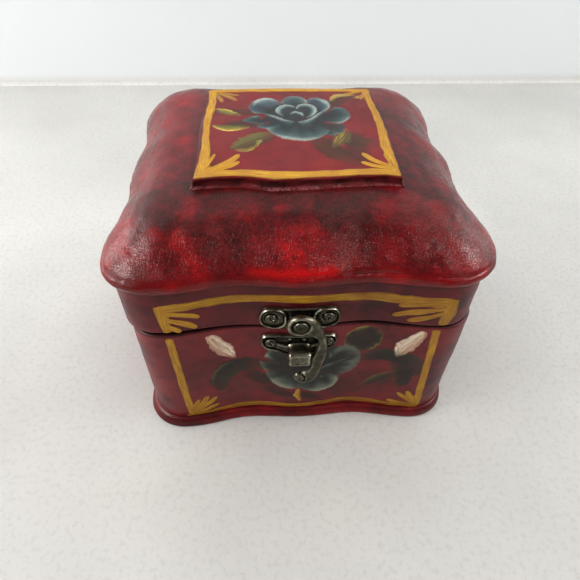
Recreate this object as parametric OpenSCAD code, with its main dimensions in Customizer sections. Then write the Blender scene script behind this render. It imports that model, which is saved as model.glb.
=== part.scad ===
// Small square keepsake box of lacquered wood with a wavy outline, a cushion-domed
// hinged lid, a raised painted panel on top and a swinging hook latch at the front.
// Millimetres, +Z up, front face towards -Y, origin on the underside at the middle of the base.

/* [Body] */
// Half width of the body walls, across the corner lobes
wall_a = 66.7; // [60:0.1:72]
// Height of the top edge of the body walls
rim_z = 62; // [50:0.5:70]
// Half width of the square hollow inside
inner_a = 58; // [50:0.5:59]
// Thickness of the bottom board
board_h = 5; // [4:0.5:7]
// How far the bottom board stands out past the walls
board_out = 2.1; // [1:0.1:3]

/* [Outline] */
// Depth of the wave in each side, from the corner lobe to the hollow beside the middle
wave_d = 3.5; // [1:0.1:4]
// Share of the half width at which the wave is deepest
wave_at = 0.33; // [0.25:0.01:0.4]
// Share of the wave depth left at the middle of a side
wave_mid = 0.67; // [0.3:0.01:1]
// Corner radius of the walls
wall_r = 13.7; // [10:0.1:18]

/* [Lid] */
// Gap between the body rim and the lid, at rest
seam = 0.6; // [0.4:0.1:1.5]
// Height of the lid band, which is the four rails under the dome
band_h = 22.6; // [15:0.1:28]
// Half width of the lip of the dome
lip_a = 70; // [68:0.1:74]
// Radius of the rounded underside of the lip
lip_r = 3.5; // [2:0.1:4]
// Corner radius of the lip
lip_cr = 18.7; // [14:0.1:22]
// Sideways offset of the lid on the body, as made by hand
lid_x = -1.2; // [-1.5:0.1:1.5]
// Height of the dome, from the underside of the lip to its flat top
dome_h = 20.1; // [14:0.1:28]
// Half width of the raised top panel
panel_a = 36.5; // [28:0.1:40]
// Thickness of the raised top panel
panel_h = 3.9; // [2:0.1:6]

/* [Latch] */
// Sideways place of the latch
latch_x = -2; // [-4:0.5:4]
// Height of the pivot of the hook
pivot_z = 68.3; // [66:0.1:70]
// Radius of the pivot rivet
pivot_r = 1.6; // [1.2:0.1:2]
// Thickness of the latch plates
plate_t = 1.2; // [0.8:0.1:1.6]
// Thickness of the hook
hook_t = 2.2; // [1.6:0.1:2.4]
// Radial play of the turning parts
play = 0.05; // [0.03:0.01:0.1]

/* [Hinges] */
// Distance of each hinge from the middle
hinge_x = 51; // [48:0.5:53]
// Width of a hinge
hinge_w = 12; // [10:0.5:13]
// Radius of the hinge barrel
barrel_r = 1.6; // [1.4:0.1:1.8]
// Radius of the hinge pin
pin_r = 0.7; // [0.5:0.05:0.9]

/* [Hidden] */
$fn = 48;
side_n = 24;                      // points along a side
corner_n = 8;                     // steps round a corner, an even number
lining_t = 0.8;
floor_t = 1;
lid_z = rim_z + seam;             // underside of the lid band
lip_z = lid_z + band_h;           // underside of the dome
panel_z = lip_z + dome_h;         // underside of the raised panel
axis_z = rim_z + seam/2;          // hinge axis
leaf_y = wall_a - 0.7;            // back plane of the hinge leaves, let into the lobes
axis_y = leaf_y + barrel_r;
leaf_t = 0.9;
leaf_h = 9.5;
hook_y = -67.6;                   // back face of the hook
screw_r = 0.9;
red = [0.45, 0.08, 0.08];
maroon = [0.36, 0.16, 0.18];
metal = [0.30, 0.28, 0.25];
brass = [0.42, 0.34, 0.22];
cloth = [0.30, 0.05, 0.07];

// ---- outline -------------------------------------------------------------

// Share of the wave depth at a distance x from the middle of a side
function wave(x, a, r, at = wave_at, mid = wave_mid) =
    let (u = abs(x)/a, u1 = 1 - r/a)
    u > at ? 0.5*(1 + cos(180*min(1, (u - at)/(u1 - at))))
           : mid + (1 - mid)*0.5*(1 - cos(180*u/at));

// One side and the corner after it, front side, left to right
function quarter(a, r, d, at, mid) = concat(
    [for (i = [0:side_n]) let (x = (a - r)*(2*i/side_n - 1)) [x, -(a - d*wave(x, a, r, at, mid))]],
    [for (i = [1:corner_n - 1]) [a - r + r*sin(90*i/corner_n), -(a - r) - r*cos(90*i/corner_n)]]);

function turn(p, k) = k == 0 ? p : turn([-p[1], p[0]], k - 1);

function outline(a, r, d = wave_d, at = wave_at, mid = wave_mid) =
    [for (k = [0:3]) for (p = quarter(a, r, d, at, mid)) turn(p, k)];

// Front wall in plan: half a corner, the side, half a corner, and the mitred back
function wall_plan(a, r) = concat(
    [for (i = [corner_n/2:-1:1]) [-(a - r) - r*sin(90*i/corner_n), -(a - r) - r*cos(90*i/corner_n)]],
    [for (i = [0:side_n]) let (x = (a - r)*(2*i/side_n - 1)) [x, -(a - wave_d*wave(x, a, r))]],
    [for (i = [1:corner_n/2]) [a - r + r*sin(90*i/corner_n), -(a - r) - r*cos(90*i/corner_n)]],
    [[inner_a, -inner_a], [-inner_a, -inner_a]]);

// y of the front face of a wall at x, with the wall's own middle at cx
function face_y(x, cx = 0) = -(wall_a - wave_d*wave(x - cx, wall_a, wall_r));

// Closed smooth curve through hand-set points
function curve(p, n = 6) = let (m = len(p)) [for (i = [0:m - 1]) for (j = [0:n - 1])
    let (a = p[(i + m - 1)%m], b = p[i], c = p[(i + 1)%m], d = p[(i + 2)%m], t = j/n)
    0.5*((2*b) + (c - a)*t + (2*a - 5*b + 4*c - d)*t*t + (3*b - a - 3*c + d)*t*t*t)];

// Skin through rings of equal point counts, closed by flat ends
module skin(rings) {
    m = len(rings);
    n = len(rings[0]);
    polyhedron(
        points = [for (g = rings) for (p = g) p],
        faces = concat(
            [[for (i = [0:n - 1]) i]],
            [for (k = [0:m - 2]) for (i = [0:n - 1]) [k*n + i, (k + 1)*n + i, (k + 1)*n + (i + 1)%n]],
            [for (k = [0:m - 2]) for (i = [0:n - 1]) [k*n + i, (k + 1)*n + (i + 1)%n, k*n + (i + 1)%n]],
            [[for (i = [n - 1:-1:0]) (m - 1)*n + i]]));
}
function at_z(pts, z) = [for (p = pts) [p[0], p[1], z]];

// ---- base ----------------------------------------------------------------

module bottom_board() color(red) {
    a = wall_a + board_out;
    e = 1.8;                       // rounding of the board's edge
    r = wall_r + 3.7;
    prof = concat([for (t = [0:30:90]) [a - e + e*sin(t), e - e*cos(t)]],
                  [for (t = [0:30:90]) [a - e + e*cos(t), board_h - e + e*sin(t)]]);
    skin([for (q = prof) at_z(outline(q[0], r - (a - q[0])), q[1])]);
}

module wall(k) color(maroon)
    translate([0, 0, board_h]) rotate(90*k) linear_extrude(rim_z - board_h) polygon(wall_plan(wall_a, wall_r));

module front_wall() color(maroon) difference() {
    wall(0);
    for (s = lower_screw_at) pilot(s);
}

module back_wall() color(maroon) difference() {
    wall(2);
    hinge_seats();
    for (s = [-1, 1]) for (t = [-1, 1]) hinge_screw_hole(s*hinge_x + t*3.2, axis_z - 5.7);
}

module left_wall() wall(3);
module right_wall() wall(1);

module base_floor_lining() color(cloth)
    translate([-inner_a, -inner_a, board_h]) cube([2*inner_a, 2*inner_a, floor_t]);

module base_wall_lining() color(cloth) translate([0, 0, board_h + floor_t])
    linear_extrude(rim_z - board_h - floor_t - 1) difference() {
        square(2*inner_a, center = true);
        square(2*(inner_a - lining_t), center = true);
    }

// ---- lid -----------------------------------------------------------------

module rail(k) color(maroon)
    translate([lid_x, 0, lid_z]) rotate(90*k) linear_extrude(band_h) polygon(wall_plan(wall_a, wall_r));

module lid_front_rail() color(maroon) difference() {
    rail(0);
    for (s = upper_screw_at) pilot(s, lid_x);
    translate([latch_x, -wall_a + wave_d + 4, pivot_z]) rotate([90, 0, 0]) cylinder(r = 1, h = 10);
}

module lid_back_rail() color(maroon) difference() {
    rail(2);
    hinge_seats();
    for (s = [-1, 1]) for (t = [-1, 1]) hinge_screw_hole(s*hinge_x + t*3.2, axis_z + 5.7);
}

module lid_left_rail() rail(3);
module lid_right_rail() rail(1);

// Half width and height of the dome above the lip's widest line, as shares of lip_a and of the rise
dome_top = 0.55;                   // half width of the crown as a share of the lip's
dome_prof = [[1, 0], [0.985, 0.08], [0.95, 0.165], [0.86, 0.32], [0.75, 0.47], [0.645, 0.595],
             [0.515, 0.75], [0.36, 0.865], [0.18, 0.94], [0, 0.97]];
module lid_dome() color(red) translate([lid_x, 0, 0]) {
    lz = lip_z + lip_r;
    rise = dome_h - lip_r;
    lip = outline(lip_a, lip_cr, 3.35, 0.29, 0.42);
    top = outline(45.5, 7.2, 1.4, 0.29, 0.42);
    under = [for (t = [90:-22.5:22.5]) at_z(lip*(1 - (1 - cos(t))*lip_r/lip_a), lz - lip_r*sin(t))];
    over = [for (q = dome_prof) [for (i = [0:len(lip) - 1])
        let (p = top[i] + (lip[i] - top[i])*q[0]) [p[0], p[1], lz + rise*q[1]]]];
    skin(concat(under, over, [at_z(top*0.88, lz + rise)]));
}

// The panel's side: sharp corners, a shallow hollow beside them and a slight swell in the middle
function panel_side(x, a) = let (u = abs(x)/a)
    u > 0.6 ? 1.5*0.5*(1 - cos(180*(1 - u)/0.4)) : -0.9 + 2.4*0.5*(1 - cos(180*u/0.6));
module lid_top_panel() color(red) translate([lid_x, 0, panel_z]) {
    square_pts = [for (k = [0:3]) for (i = [0:23]) let (x = panel_a*(i/12 - 1)) turn([x, -(panel_a - panel_side(x, panel_a))], k)];
    // the panel reaches a little further back than forwards
    pts = [for (p = square_pts) [p[0], p[1] > 0 ? p[1]*(panel_a + 2.4)/panel_a : p[1]]];
    skin([at_z(pts, 0), at_z(pts, panel_h - 0.8), at_z(pts*0.99, panel_h - 0.25), at_z(pts*0.975, panel_h)]);
}

module lid_ceiling_lining() color(cloth)
    translate([lid_x - inner_a, -inner_a, lip_z - floor_t]) cube([2*inner_a, 2*inner_a, floor_t]);

// ---- hinges --------------------------------------------------------------

// Flat seats for the leaves and a deeper pocket for the barrels, in the two rear lobes
module hinge_seats() for (s = [-1, 1]) translate([s*hinge_x, 0, axis_z]) {
    translate([-hinge_w/2 - 0.2, leaf_y, -leaf_h - 0.2]) cube([hinge_w + 0.4, 6, 2*leaf_h + 0.4]);
    translate([-hinge_w/2 - 0.4, leaf_y - 0.3, -barrel_r - 0.3]) cube([hinge_w + 0.8, 6, 2*barrel_r + 0.6]);
}

// A leaf with its knuckles. up is 1 for the lid's leaf and -1 for the body's
module leaf(s, up) color(brass) translate([s*hinge_x, axis_y, axis_z]) difference() {
    k = hinge_w/6 - 0.1;           // half length of the middle knuckle
    union() {
        translate([-hinge_w/2, -barrel_r, up > 0 ? barrel_r + 0.3 : -leaf_h])
            cube([hinge_w, leaf_t, leaf_h - barrel_r - 0.3]);
        if (up > 0) {
            rotate([0, 90, 0]) cylinder(r = barrel_r, h = 2*k, center = true);
            translate([-k, -barrel_r, 0]) cube([2*k, leaf_t, barrel_r + 0.4]);
        } else for (e = [-1, 1]) {
            translate([e*(hinge_w/2 + k + 0.25)/2, 0, 0]) {
                rotate([0, 90, 0]) cylinder(r = barrel_r, h = hinge_w/2 - k - 0.25, center = true);
                translate([-(hinge_w/2 - k - 0.25)/2, -barrel_r, -barrel_r - 0.4])
                    cube([hinge_w/2 - k - 0.25, leaf_t, barrel_r + 0.4]);
            }
        }
    }
    rotate([0, 90, 0]) cylinder(r = up > 0 ? pin_r + play : pin_r, h = hinge_w + 2, center = true);
    for (t = [-1, 1]) translate([t*3.2, 0, up*5.7]) rotate([90, 0, 0]) cylinder(r = screw_r - 0.2 + play, h = 6, center = true);
}

module left_hinge_lower_leaf() leaf(-1, -1);
module right_hinge_lower_leaf() leaf(1, -1);
module left_hinge_upper_leaf() leaf(-1, 1);
module right_hinge_upper_leaf() leaf(1, 1);

module pin(s) color(brass) translate([s*hinge_x, axis_y, axis_z]) rotate([0, 90, 0]) {
    cylinder(r = pin_r, h = hinge_w, center = true);
    for (e = [-1, 1]) translate([0, 0, e*(hinge_w/2 + 0.2)]) cylinder(r = pin_r + 0.35, h = 0.4, center = true);
}
module left_hinge_pin() pin(-1);
module right_hinge_pin() pin(1);

module hinge_screw_hole(x, z) translate([x, leaf_y + 0.1, z]) rotate([90, 0, 0]) cylinder(r = screw_r - 0.2, h = 5.1);

module hinge_screw(x, z) color(brass) translate([x, leaf_y + leaf_t, z]) rotate([-90, 0, 0]) difference() {
    union() {
        cylinder(r1 = 1.5, r2 = 1.1, h = 0.55);
        translate([0, 0, -leaf_t - 4.9]) cylinder(r = screw_r - 0.2, h = leaf_t + 4.9);
    }
    translate([0, 0, 0.45]) cube([2.6, 0.4, 0.4], center = true);
}
module hinge_lower_screws() for (s = [-1, 1]) for (t = [-1, 1]) hinge_screw(s*hinge_x + t*3.2, axis_z - 5.7);
module hinge_upper_screws() for (s = [-1, 1]) for (t = [-1, 1]) hinge_screw(s*hinge_x + t*3.2, axis_z + 5.7);

// ---- latch ---------------------------------------------------------------

upper_screw_at = [[latch_x - 10.6, pivot_z], [latch_x + 10.6, pivot_z + 0.4]];
lower_screw_at = [[latch_x - 10.9, 53.9], [latch_x + 11.5, 54.2]];

// Half of each plate's edge, mirrored to the other side
upper_half = [[0, -5.2], [5, -5.4], [10, -5.5], [14.2, -3.6], [15.2, 0], [13.6, 4.2], [10, 5.4], [6.4, 5.1], [3.4, 4.9], [0, 4.9]];
lower_half = [[0, -8.2], [4.5, -7.6], [8.5, -5.6], [12.8, -4.4], [15, -0.5], [14, 3.4], [10, 4.3], [5, 4.3], [0, 4.3]];
function both(p) = concat(p, [for (i = [len(p) - 2:-1:1]) [-p[i][0], p[i][1]]]);

// A plate bent to follow the wall face: its edge stands out past the wall by t
module on_face(edge, z, t, cx, back = 0.08) intersection() {
    translate([latch_x, -50, z]) rotate([90, 0, 0]) linear_extrude(30) polygon(edge);
    translate([0, 0, z - 20]) linear_extrude(40) polygon(concat(
        [for (x = [-18:1:18]) [latch_x + x, face_y(latch_x + x, cx) - back]],
        [for (x = [18:-1:-18]) [latch_x + x, face_y(latch_x + x, cx) - t]]));
}
module plate(half, z, cx) {
    edge = curve(both(half), 4);
    on_face(edge, z, plate_t, cx);
    difference() {
        on_face(edge, z, plate_t + 0.5, cx, plate_t - 0.2);
        translate([latch_x, -50, z]) rotate([90, 0, 0]) linear_extrude(30)
            polygon([for (p = edge) [p[0]*(1 - 1/15), p[1]*(1 - 1/5.4)]]);
    }
}

module latch_upper_plate() color(metal) difference() {
    plate(upper_half, pivot_z, lid_x);
    for (s = upper_screw_at) translate([s[0], -60, s[1]]) rotate([90, 0, 0]) cylinder(r = screw_r + play, h = 10);
    translate([latch_x, -60, pivot_z]) rotate([90, 0, 0]) cylinder(r = pivot_r, h = 10);
}

module latch_lower_plate() color(metal) difference() {
    plate(lower_half, 54.1, 0);
    for (s = lower_screw_at) translate([s[0], -60, s[1]]) rotate([90, 0, 0]) cylinder(r = screw_r + play, h = 10);
}

// Post on the lower plate that the hook closes round, with a rounded-square head
module latch_catch_post() color(metal) translate([latch_x, face_y(0) - plate_t - 0.02, 51]) rotate([90, 0, 0]) {
    linear_extrude(4.5) polygon(curve([[-4.1, -3], [4.1, -3], [4.1, 2.6], [-4.1, 2.6]]*0.86, 4));
    translate([0, 0, 4.4]) linear_extrude(2) polygon(curve([[-4, -3.4], [0, -3.7], [4, -3.4], [4.3, 0], [4, 3.2], [0, 3.5], [-4, 3.2], [-4.3, 0]], 4));
}

function screw_seat(x, cx) = face_y(x, cx) - plate_t;
module pilot(s, cx = 0) translate([s[0], screw_seat(s[0], cx) + 6, s[1]]) rotate([90, 0, 0]) cylinder(r = screw_r, h = 6);

// Pan-head screw with a cross recess
module latch_screw(s, cx) color(metal) translate([s[0], screw_seat(s[0], cx) - 0.25, s[1]]) rotate([90, 0, 0]) difference() {
    union() {
        translate([0, 0, 0]) cylinder(r1 = 2.1, r2 = 1.5, h = 0.9);
        translate([0, 0, -5.8]) cylinder(r = screw_r, h = 5.8);
    }
    for (a = [20, 110]) rotate(a) translate([0, 0, 0.8]) cube([2.3, 0.5, 0.9], center = true);
}
module latch_upper_screws() for (s = upper_screw_at) latch_screw(s, lid_x);
module latch_lower_screws() for (s = lower_screw_at) latch_screw(s, 0);

// Rivet through the upper plate: shoulder behind the hook, shank in its bore, head in front
module latch_pivot_rivet() color(metal) translate([latch_x, 0, pivot_z]) rotate([90, 0, 0]) {
    y0 = -face_y(latch_x, lid_x);
    translate([0, 0, y0 - 3]) cylinder(r = 1, h = 3.2);
    translate([0, 0, y0]) cylinder(r = pivot_r, h = -hook_y + hook_t + 0.3 - y0);
    translate([0, 0, y0 + plate_t]) cylinder(r = 2.6, h = -hook_y - 0.1 - y0 - plate_t);
    translate([0, 0, -hook_y + hook_t + 0.1]) cylinder(r1 = 2.6, r2 = 2.0, h = 0.6);
}

// Hook: a disc on the rivet, an arm down the right side and a curl under the post
hook_edge = [[-5.2, 0], [-3.7, 3.7], [0, 5.2], [4.4, 3.7], [7, 0.4], [8.9, -4.5], [10.3, -10], [10.6, -16.5],
    [9.6, -23], [8.4, -29.5], [6.6, -34.2], [3.4, -36.2], [0.2, -35.3], [-1.5, -33], [-0.6, -30.8], [1.4, -29.8],
    [3.4, -27.8], [4.8, -24], [5, -19], [6.4, -13.5], [7, -9.5], [5.2, -6.6], [1.5, -5.6], [-3.4, -4]];
module latch_hook() color(metal) translate([latch_x, hook_y, pivot_z]) rotate([90, 0, 0]) difference() {
    linear_extrude(hook_t) polygon(curve(hook_edge, 5));
    translate([0, 0, -1]) cylinder(r = pivot_r + play, h = hook_t + 2);
}

bottom_board();
front_wall();
back_wall();
left_wall();
right_wall();
base_floor_lining();
base_wall_lining();
lid_front_rail();
lid_back_rail();
lid_left_rail();
lid_right_rail();
lid_dome();
lid_top_panel();
lid_ceiling_lining();
left_hinge_lower_leaf();
right_hinge_lower_leaf();
left_hinge_upper_leaf();
right_hinge_upper_leaf();
left_hinge_pin();
right_hinge_pin();
hinge_lower_screws();
hinge_upper_screws();
latch_upper_plate();
latch_upper_screws();
latch_pivot_rivet();
latch_hook();
latch_lower_plate();
latch_catch_post();
latch_lower_screws();
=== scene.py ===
# A small lacquered keepsake box with a cushion-domed lid: its looks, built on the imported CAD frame.
# Lengths in this script are in millimetres until a mesh is made; the scene is in metres.
import math

import bpy
import numpy as np
from mathutils import Matrix, Vector
from mathutils.geometry import delaunay_2d_cdt


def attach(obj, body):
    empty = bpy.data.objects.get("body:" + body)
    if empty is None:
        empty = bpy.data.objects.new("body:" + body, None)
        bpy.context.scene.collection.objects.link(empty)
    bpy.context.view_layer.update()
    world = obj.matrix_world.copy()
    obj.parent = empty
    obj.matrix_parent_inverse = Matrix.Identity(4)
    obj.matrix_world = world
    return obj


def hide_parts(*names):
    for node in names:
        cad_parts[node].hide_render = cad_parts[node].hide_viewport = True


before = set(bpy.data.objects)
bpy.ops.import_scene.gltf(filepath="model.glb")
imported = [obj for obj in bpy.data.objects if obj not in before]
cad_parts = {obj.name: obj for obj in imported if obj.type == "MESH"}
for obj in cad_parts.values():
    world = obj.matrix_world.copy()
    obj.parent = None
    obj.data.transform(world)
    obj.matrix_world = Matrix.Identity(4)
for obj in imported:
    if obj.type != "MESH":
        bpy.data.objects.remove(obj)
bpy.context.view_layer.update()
MM = 0.001

# the same sizes as the CAD part
WALL_A, WALL_R, RIM_Z, INNER_A, BOARD_H = 66.7, 13.7, 62.0, 58.0, 5.0
LID_X, LID_Z, LIP_Z = -1.2, 62.6, 85.2
LIP_A, LIP_R, LIP_CR, DOME_H = 70.0, 3.5, 18.7, 20.1
PANEL_Z, PANEL_H = 105.3, 3.9
LATCH_X, PIVOT_Z = -2.0, 68.3
TOP_Z = PANEL_Z + PANEL_H


# ---- shapes ------------------------------------------------------------------------------------

def wave(x, a, r, at=0.33, mid=0.67):
    u, u1 = np.abs(x) / a, 1 - r / a
    far = 0.5 * (1 + np.cos(np.pi * np.minimum(1, (u - at) / (u1 - at))))
    near = mid + (1 - mid) * 0.5 * (1 - np.cos(np.pi * u / at))
    return np.where(u > at, far, near)


def ring(a, r, d=3.5, at=0.33, mid=0.67, counts=(60, 60, 60, 60), m=10):
    """Closed wavy outline, front side first; counts are the steps along each side."""
    out = []
    for k in range(4):
        x = (a - r) * np.linspace(-1, 1, counts[k] + 1)
        y = -(a - d * wave(x, a, r, at, mid))
        t = np.radians(90.0 * np.arange(1, m) / m)
        p = np.stack([np.r_[x, a - r + r * np.sin(t)], np.r_[y, -(a - r) - r * np.cos(t)]], 1)
        for _ in range(k):
            p = np.stack([-p[:, 1], p[:, 0]], 1)
        out.append(p)
    return np.concatenate(out)


def face_y(x, cx=0.0):
    return -(WALL_A - 3.5 * wave(np.asarray(x, float) - cx, WALL_A, WALL_R))


def lift(p, z):
    return np.column_stack([p, np.full(len(p), float(z))])


def smooth(x, lo, hi):
    t = np.clip((x - lo) / (hi - lo), 0, 1)
    return t * t * (3 - 2 * t)


def wobble(p, wl, seed, n=18):
    """Smooth random field of about unit size with features near wl, at points p."""
    rs = np.random.RandomState(seed)
    k = rs.normal(size=(n, p.shape[1]))
    k /= np.linalg.norm(k, axis=1)[:, None]
    k *= 2 * np.pi / (wl * rs.uniform(0.7, 1.6, size=(n, 1)))
    ph = rs.uniform(0, 2 * np.pi, n)
    return np.sin(p @ k.T + ph).sum(1) / math.sqrt(n / 2)


def catmull(p, n=8, closed=False):
    """Smooth curve through points of any dimension."""
    p = np.asarray(p, float)
    m = len(p)
    out = []
    for i in range(m if closed else m - 1):
        if closed:
            a, b, c, d = p[(i - 1) % m], p[i], p[(i + 1) % m], p[(i + 2) % m]
        else:
            a, b, c, d = p[max(i - 1, 0)], p[i], p[i + 1], p[min(i + 2, m - 1)]
        for j in range(n):
            t = j / n
            out.append(0.5 * (2 * b + (c - a) * t + (2 * a - 5 * b + 4 * c - d) * t * t + (3 * b - a - 3 * c + d) * t ** 3))
    if not closed:
        out.append(p[-1])
    return np.array(out)


def resample(p, step):
    """Points about a step apart along an open line."""
    p = np.asarray(p, float)
    s = np.r_[0, np.cumsum(np.linalg.norm(np.diff(p, axis=0), axis=1))]
    q = np.linspace(0, s[-1], max(3, int(s[-1] / step) + 1))
    return np.column_stack([np.interp(q, s, p[:, i]) for i in range(p.shape[1])])


def lin(h):
    """Linear colour from a hex sRGB string."""
    c = np.array([int(h[i:i + 2], 16) / 255 for i in (0, 2, 4)])
    return np.where(c <= 0.04045, c / 12.92, ((c + 0.055) / 1.055) ** 2.4)


def make(name, v, faces, mat, sharp=None):
    """Mesh object from millimetre points."""
    me = bpy.data.meshes.new(name)
    me.from_pydata((np.asarray(v, float) * MM).tolist(), [], faces if isinstance(faces, list) else faces.tolist())
    me.validate()
    me.update()
    me.polygons.foreach_set("use_smooth", [True] * len(me.polygons))
    if sharp:
        me.set_sharp_from_angle(angle=math.radians(sharp))
    me.materials.append(mat)
    o = bpy.data.objects.new(name, me)
    bpy.context.scene.collection.objects.link(o)
    return o


def loft(rings, torus=False, caps=(False, False)):
    """Points and faces through equal rings. torus joins the last ring to the first; a cap is a fan to the middle."""
    n = len(rings[0])
    v = np.concatenate(rings)
    i = np.arange(n)
    j = (i + 1) % n
    pairs = [(k, k + 1) for k in range(len(rings) - 1)] + ([(len(rings) - 1, 0)] if torus else [])
    f = [np.column_stack([a * n + i, a * n + j, b * n + j, b * n + i]) for a, b in pairs]
    f = np.concatenate(f).tolist()
    if caps[0]:
        v = np.vstack([v, rings[0].mean(0)])
        f += [[int(b), int(a), len(v) - 1] for a, b in zip(i, j)]
    if caps[1]:
        v = np.vstack([v, rings[-1].mean(0)])
        o = (len(rings) - 1) * n
        f += [[int(o + a), int(o + b), len(v) - 1] for a, b in zip(i, j)]
    return v, f


def attr(o, name, values):
    values = np.asarray(values, np.float32)
    kind = "FLOAT" if values.ndim == 1 else ("FLOAT_COLOR" if values.shape[1] == 4 else "FLOAT_VECTOR")
    a = o.data.attributes.new(name, kind, "POINT")
    a.data.foreach_set({"FLOAT": "value", "FLOAT_COLOR": "color", "FLOAT_VECTOR": "vector"}[kind], values.ravel())


def convexity(o, rounds=2):
    """Per-vertex edge wear: high on ridges, low in hollows."""
    me = o.data
    n = len(me.vertices)
    co = np.zeros(n * 3)
    me.vertices.foreach_get("co", co)
    co = co.reshape(-1, 3)
    nr = np.zeros(n * 3)
    me.vertices.foreach_get("normal", nr)
    nr = nr.reshape(-1, 3)
    e = np.zeros(len(me.edges) * 2, int)
    me.edges.foreach_get("vertices", e)
    e = e.reshape(-1, 2)
    d = co[e[:, 1]] - co[e[:, 0]]
    d /= np.linalg.norm(d, axis=1)[:, None] + 1e-12
    c, w = np.zeros(n), np.zeros(n)
    np.add.at(c, e[:, 0], -(d * nr[e[:, 0]]).sum(1))
    np.add.at(c, e[:, 1], (d * nr[e[:, 1]]).sum(1))
    np.add.at(w, e[:, 0], 1)
    np.add.at(w, e[:, 1], 1)
    c /= np.maximum(w, 1)
    for _ in range(rounds):
        s = np.zeros(n)
        np.add.at(s, e[:, 0], c[e[:, 1]])
        np.add.at(s, e[:, 1], c[e[:, 0]])
        c = 0.5 * c + 0.5 * s / np.maximum(w, 1)
    return c


# ---- materials ---------------------------------------------------------------------------------

class Mat:
    def __init__(self, name):
        self.m = bpy.data.materials.new(name)
        self.m.use_nodes = True
        self.t = self.m.node_tree
        self.b = self.t.nodes["Principled BSDF"]
        self.obj = self.node("ShaderNodeTexCoord").outputs["Object"]

    def node(self, kind, inputs=None, **props):
        n = self.t.nodes.new(kind)
        for k, v in props.items():
            setattr(n, k, v)
        for k, v in (inputs or {}).items():
            if isinstance(v, bpy.types.NodeSocket):
                self.t.links.new(v, n.inputs[k])
            else:
                n.inputs[k].default_value = v
        return n

    def noise(self, scale, detail=3.0, rough=0.55, vec=None, distort=0.0):
        return self.node("ShaderNodeTexNoise", {"Vector": vec or self.obj, "Scale": scale, "Detail": detail,
                                                 "Roughness": rough, "Distortion": distort}).outputs["Fac"]

    def ramp(self, fac, stops, ease="LINEAR"):
        n = self.node("ShaderNodeValToRGB", {"Fac": fac})
        n.color_ramp.interpolation = ease
        e = n.color_ramp.elements
        while len(e) < len(stops):
            e.new(0.5)
        for el, (p, c) in zip(e, stops):
            el.position = p
            el.color = (c, c, c, 1) if np.isscalar(c) else (*[float(x) for x in c[:3]], 1)
        return n.outputs["Color"]

    def math(self, op, a, b=0.0, clamp=False):
        return self.node("ShaderNodeMath", {0: a, 1: b}, operation=op, use_clamp=clamp).outputs[0]

    def mix(self, fac, a, b, blend="MIX"):
        def col(x):
            return x if isinstance(x, bpy.types.NodeSocket) else (*[float(c) for c in x[:3]], 1)
        n = self.node("ShaderNodeMix", {0: fac, 6: col(a), 7: col(b)}, data_type="RGBA", blend_type=blend)
        return n.outputs[2]

    def attr(self, name, out="Fac"):
        return self.node("ShaderNodeAttribute", attribute_name=name).outputs[out]

    def bump(self, height, strength, distance, normal=None):
        inp = {"Height": height, "Strength": strength, "Distance": distance}
        if normal is not None:
            inp["Normal"] = normal
        return self.node("ShaderNodeBump", inp).outputs["Normal"]

    def set(self, **kw):
        names = {"color": "Base Color", "rough": "Roughness", "metal": "Metallic", "coat": "Coat Weight",
                 "coat_rough": "Coat Roughness", "normal": "Normal", "coat_normal": "Coat Normal", "ior": "IOR",
                 "spec": "Specular IOR Level", "sheen": "Sheen Weight", "sheen_rough": "Sheen Roughness",
                 "sheen_tint": "Sheen Tint", "coat_ior": "Coat IOR", "coat_tint": "Coat Tint", "sss": "Subsurface Weight"}
        for k, v in kw.items():
            s = self.b.inputs[names[k]]
            if isinstance(v, bpy.types.NodeSocket):
                self.t.links.new(v, s)
            elif hasattr(v, "__len__"):
                s.default_value = (*[float(x) for x in v[:3]], 1)
            else:
                s.default_value = v
        return self


def crackle(k, scale=1050.0, width=0.10):
    """Fine cracked-skin height, 0 in the cracks and 1 on the islands, with a warped and broken network."""
    warp = k.node("ShaderNodeTexNoise", {"Vector": k.obj, "Scale": 260.0, "Detail": 3.0}).outputs["Color"]
    v = k.node("ShaderNodeVectorMath", {0: warp, 1: (0.5, 0.5, 0.5)}, operation="SUBTRACT").outputs[0]
    v = k.node("ShaderNodeVectorMath", {0: v, 3: 0.0016}, operation="SCALE").outputs[0]
    v = k.node("ShaderNodeVectorMath", {0: k.obj, 1: v}, operation="ADD").outputs[0]
    d = k.node("ShaderNodeTexVoronoi", {"Vector": v, "Scale": scale, "Randomness": 1.0}, feature="DISTANCE_TO_EDGE").outputs["Distance"]
    return k.ramp(d, [(0.0, 0.0), (width, 0.75), (width * 2.6, 1.0)], "EASE")


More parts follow.
